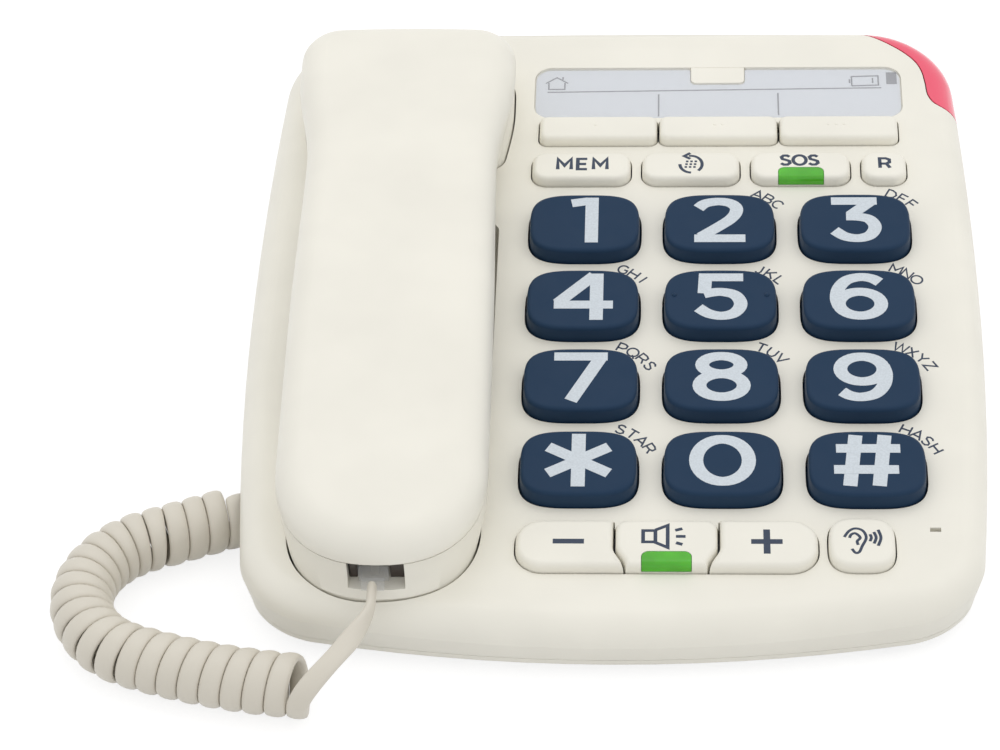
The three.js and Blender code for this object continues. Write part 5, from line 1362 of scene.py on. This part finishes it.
class TELEPHONE_OT_small_keys(bpy.types.Operator):
    """Models the ivory keys and their light windows"""
    bl_idname = "telephone.small_keys"
    bl_label = "Small keys"

    def execute(self, context):
        for name, outline in SMALL_KEYS.items():
            key = stacked(name, outline, SMALL_KEY_PROFILE)
            if name in MEMORY_DOTS:
                add_pips(key, MEMORY_DOTS[name], SMALL_KEY_HEIGHT - 0.2, 0.5)
            if name in WINDOWS:
                self.window(key, name, outline)
            slope_top(key, outline)
            finish(on_deck(key), f"{name}_cap", "ivory_keys", name, [name])
        return {"FINISHED"}

    def window(self, key, name, outline):
        middle = (min(x for x, _ in outline) + max(x for x, _ in outline)) / 2
        front = min(s for _, s in outline)

        def slot(gap):
            opening = rounded_rectangle(
                *span(middle, WINDOW_WIDTH + 2 * gap), front - 5, front + WINDOW_DEPTH + gap, 1.9 + gap)
            return prism("slot", opening, SMALL_KEY_HEIGHT - WINDOW_THICKNESS - gap, KEY_HEIGHT)
        window = copied(key, "window")
        combine(window, slot(0), "INTERSECT")
        combine(key, slot(WINDOW_GAP))
        soften(window, 0.2 * MM)
        slope_top(window, outline)
        finish(on_deck(window), f"{WINDOWS[name]}_lens", "green_window", name, [WINDOWS[name]])


class TELEPHONE_OT_signs(bpy.types.Operator):
    """Prints the letters and signs on the small keys and the letter groups on the deck"""
    bl_idname = "telephone.signs"
    bl_label = "Signs and letters"

    def execute(self, context):
        for name, outline in SMALL_KEYS.items():
            strokes = self.key_strokes(name)
            if strokes:
                sign = print_mesh(f"sign_{name}", strokes)
                slope_top(sign, outline)
                finish(on_deck(sign), f"sign_{name}", "ink", name)
        letters = print_mesh("deck_letters", self.deck_strokes(context.scene.telephone_sizes))
        finish(on_deck(letters), "deck_letters", "ink", "base")
        return {"FINISHED"}

    def key_strokes(self, name):
        if name in KEY_WORDS:
            return word_strokes(*KEY_WORDS[name])
        width, *lines = KEY_SIGNS.get(name, [0])
        strokes = marks(lines, width, SMALL_KEY_HEIGHT)
        if name == "key_redial":
            for i, k in ((i, k) for i in (-1, 0, 1) for k in (-1, 0, 1)):
                x, s = REDIAL_X + 1.2 * i + 0.2 * k, REDIAL_S + 1.3 * k
                strokes.append(mark([(x - 0.4, s), (x + 0.3, s)], 0.8, SMALL_KEY_HEIGHT))
        return strokes

    def deck_strokes(self, size):
        radius, half = size.letter_arc / MM, size.letter_height / MM / 2
        strokes = []
        for index, letters in KEY_LETTERS.items():
            x, s = digit_centre(index)
            for i, letter in enumerate(letters):
                angle = math.radians(LETTER_START - LETTER_SPACING * i)
                place = (x + 3.3 + radius * math.cos(angle), s + 0.1 + radius * math.sin(angle))
                strokes += letter_strokes(letter, *place, half, LETTER_STROKE, angle - math.pi / 2)
        return strokes


class TELEPHONE_OT_handset(bpy.types.Operator):
    """Models the two shells of the handset and its jack"""
    bl_idname = "telephone.handset"
    bl_label = "Handset"

    def execute(self, context):
        for piece, name, material, replaced in (
                (self.outer_shell(), "handset_back_moulding", "ivory_plastic", "handset_outer_shell"),
                (self.inner_shell(), "handset_front_moulding", "ivory_plastic", "handset_inner_shell"),
                (self.jack(), "handset_socket", "dark_plastic", "handset_jack")):
            finish(on_deck(piece), name, material, "handset", [replaced])
        return {"FINISHED"}

    def back_form(self, name, bottom, wall, steps=9):
        """The handset's arched back, or the room inside it where a wall is given."""
        edge = HANDSET_EDGE - wall
        low, top = HANDSET_TOP - HANDSET_ARCH - HANDSET_EDGE, HANDSET_TOP - HANDSET_ARCH - wall
        profile = [(CLEARANCE + wall, bottom), (wall, low)]
        for i in range(1, steps + 1):
            angle = math.pi / 2 * i / steps
            profile.append((wall + edge * (1 - math.cos(angle)), top - edge * (1 - math.sin(angle))))
        piece = stacked(name, HANDSET_OUTLINE, profile)
        self.divide_top(piece)
        middle, half = (HANDSET_FRONT_S + HANDSET_BACK_S) / 2, (HANDSET_BACK_S - HANDSET_FRONT_S) / 2
        for vertex in piece.data.vertices:
            x, s, h = (c / MM for c in vertex.co)
            share = smooth_step((h - bottom) / (low - bottom))
            rise = HANDSET_ARCH * (1 - ((s - middle) / half) ** 2) * share
            if h > top - 0.01:
                reach = max(0.0, 1 - ((x - grip_axis(s)) / (HANDLE_HALF_WIDTH - HANDSET_EDGE)) ** 2)
                end = max(0.0, 1 - (abs(s - middle) / (half - HANDSET_EDGE)) ** 8)
                rise += HANDSET_CROWN * reach * end
            vertex.co.z += rise * MM
        outward(piece)
        return piece

    def divide_top(self, piece):
        """Cuts the flat top into a grid, so that it can take the crown."""
        cuts = [((HANDSET_X + x, 0, 0), (1, 0, 0)) for x in range(-20, 21, 4)]
        cuts += [((0, HANDSET_FRONT_S + 8 * k, 0), (0, 1, 0)) for k in range(1, 25)]
        top = max(vertex.co.z for vertex in piece.data.vertices)
        with editing(piece):
            for place, facing in cuts:
                choose(piece, lambda face: all(top - v.co.z < 0.001 * MM for v in face.verts))
                bpy.ops.mesh.bisect(plane_co=Vector(place) * MM, plane_no=facing)

    def outer_shell(self):
        shell = self.back_form("back", SEAM_HEIGHT + CLEARANCE / 2, 0)
        combine(shell, self.back_form("back_inside", SEAM_HEIGHT - 4, HANDSET_WALL))
        return shell

    def cup(self, name, outline, depth, upper):
        """A cup with its rounded bottom edge; upper holds the levels above the edge."""
        return stacked(name, outline, [
            (CUP_DRAFT + CUP_EDGE, -depth), (CUP_DRAFT + 1.2, -depth + 0.6),
            (CUP_DRAFT + 0.3, -depth + 1.6), (CUP_DRAFT, -depth + CUP_EDGE), *upper])

    def inner_shell(self):
        seam = (2 * CLEARANCE, SEAM_HEIGHT - CLEARANCE / 2)
        floor, inset = HANDLE_UNDERSIDE + HANDSET_WALL, HANDSET_WALL + 0.8
        shell = stacked("front", HANDSET_OUTLINE, [
            (UNDERSIDE_INSET, HANDLE_UNDERSIDE), (1.9, HANDLE_UNDERSIDE + 0.6),
            (1.4, HANDLE_UNDERSIDE + 1.6), (CLEARANCE, SEAM_HEIGHT - CLEARANCE / 2)])
        combine(shell, self.cup("ear_cup", EAR_CUP_OUTLINE, EAR_CUP_DEPTH, [seam]), "UNION")
        combine(shell, self.cup("mouth_cup", MOUTH_FOOT_OUTLINE, MOUTH_CUP_DEPTH, [
            (0, 0), (0.7, MOUTH_FOOT_TOP, MOUTH_CUP_OUTLINE), seam]), "UNION")
        combine(shell, stacked("hollow", HANDSET_OUTLINE, [
            (UNDERSIDE_INSET + HANDSET_WALL, floor), (inset, floor + 2), (inset, SEAM_HEIGHT + 1)]))
        combine(shell, block(
            "mouth", span(HANDSET_MOUTH_X, HANDSET_MOUTH_WIDTH),
            (HANDSET_FRONT_S - 5, HANDSET_JACK_BACK_S), (HANDSET_MOUTH_BOTTOM, SEAM_HEIGHT + 1)))
        soften(shell, 0.3 * MM)
        return shell

    def jack(self):
        """The dark socket that fills the opening round the plug."""
        width, height = HANDSET_JACK_OPENING
        jack = block(
            "jack", span(HANDSET_MOUTH_X, HANDSET_MOUTH_WIDTH - 2 * CLEARANCE),
            (HANDSET_JACK_FACE_S, HANDSET_JACK_BACK_S - CLEARANCE),
            (HANDSET_MOUTH_BOTTOM + 0.1, SEAM_HEIGHT - CLEARANCE))
        combine(jack, block(
            "opening", span(HANDSET_X, width), (HANDSET_JACK_FACE_S - 2, HANDSET_JACK_BACK_S - 1),
            span(HANDSET_JACK_HEIGHT, height)))
        soften(jack, 0.25 * MM)
        return jack


class TELEPHONE_OT_label(bpy.types.Operator):
    """Models the printed label card and its clear cover"""
    bl_idname = "telephone.label"
    bl_label = "Label"

    def execute(self, context):
        level = CARD_BOTTOM + CARD_THICKNESS
        card = label_field(0.4, CARD_BOTTOM, level)
        combine(card, label_tab(0, CARD_BOTTOM - 1, CARD_BOTTOM + 1))
        finish(on_deck(card), "label_sheet", "printed_card", "base", ["label_card"])
        cover = label_field(0.3, level + 0.12, CARD_BOTTOM + 0.9)
        combine(cover, label_tab(0.2, CARD_BOTTOM, CARD_BOTTOM + 2))
        soften(cover, 0.15 * MM)
        finish(on_deck(cover), "label_window", "clear_plastic", "base", ["label_cover"])
        strokes = [mark(line, LABEL_STROKE, level, order=i % 3) for i, line in enumerate(LABEL_LINES)]
        # Painted shade: a grey patch in the card's back right corner, where the pocket floor lies in
        # shade.
        strokes.append(mark(*PAINTED_CORNER_SHADE, level))
        signs = print_mesh("label_marks", strokes)
        finish(on_deck(signs), "label_marks", "label_print_and_shade", "base")
        return {"FINISHED"}


class TELEPHONE_OT_carried_over(bpy.types.Operator):
    """Gives the CAD pieces that stay their own materials"""
    bl_idname = "telephone.carried_over"
    bl_label = "Carried-over pieces"

    finishes = {
        "ivory_plastic": ["battery_door", "hook_switch"],
        "clear_plastic": ["cord_plug_base", "cord_plug_handset"],
        "silicone": ["keypad_mat"],
        "circuit_board": ["main_circuit_board"],
        "dark_plastic": ["loudspeaker", "handset_jack_base", "line_jack", "receiver_capsule"],
        "steel": ["speakerphone_microphone", "housing_screw_1", "housing_screw_2", "housing_screw_3",
                  "housing_screw_4", "handset_microphone", "handset_weight"],
        "foot_rubber": ["foot_front_left", "foot_front_right", "foot_back_left", "foot_back_right"],
        "battery_jacket": ["battery_cell_1", "battery_cell_2", "battery_cell_3"],
    }

    def execute(self, context):
        for finish_name, nodes in self.finishes.items():
            for node in nodes:
                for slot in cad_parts[node].material_slots:
                    slot.material = finish_of(finish_name)
        return {"FINISHED"}


STEPS = [
    TELEPHONE_OT_stage,
    TELEPHONE_OT_curly_cord,
    TELEPHONE_OT_housing,
    TELEPHONE_OT_floor_plate,
    TELEPHONE_OT_digit_keys,
    TELEPHONE_OT_small_keys,
    TELEPHONE_OT_signs,
    TELEPHONE_OT_handset,
    TELEPHONE_OT_label,
    TELEPHONE_OT_carried_over,
]


class TELEPHONE_PT_panel(bpy.types.Panel):
    """Lists the telephone's sizes, colours and pieces"""
    bl_idname = "TELEPHONE_PT_panel"
    bl_label = "Corded telephone"
    bl_space_type = "VIEW_3D"
    bl_region_type = "UI"
    bl_category = "Telephone"

    def draw(self, context):
        layout = self.layout
        for group in (context.scene.telephone_sizes, context.scene.telephone_colours):
            for key in group.bl_rna.properties.keys():
                if key not in ("rna_type", "name"):
                    layout.prop(group, key)
        for step in STEPS:
            layout.operator(step.bl_idname)


CLASSES = [TelephoneSizes, TelephoneColours, *STEPS, TELEPHONE_PT_panel]


def register():
    for cls in CLASSES:
        bpy.utils.register_class(cls)
    bpy.types.Scene.telephone_sizes = PointerProperty(type=TelephoneSizes)
    bpy.types.Scene.telephone_colours = PointerProperty(type=TelephoneColours)


def unregister():
    del bpy.types.Scene.telephone_colours
    del bpy.types.Scene.telephone_sizes
    for cls in reversed(CLASSES):
        bpy.utils.unregister_class(cls)


def main():
    register()
    bpy.ops.object.select_all(action="DESELECT")
    bpy.ops.telephone.stage()
    bpy.ops.telephone.curly_cord()
    bpy.ops.telephone.housing()
    bpy.ops.telephone.floor_plate()
    bpy.ops.telephone.digit_keys()
    bpy.ops.telephone.small_keys()
    bpy.ops.telephone.signs()
    bpy.ops.telephone.handset()
    bpy.ops.telephone.label()
    bpy.ops.telephone.carried_over()


if __name__ == "__main__":
    main()
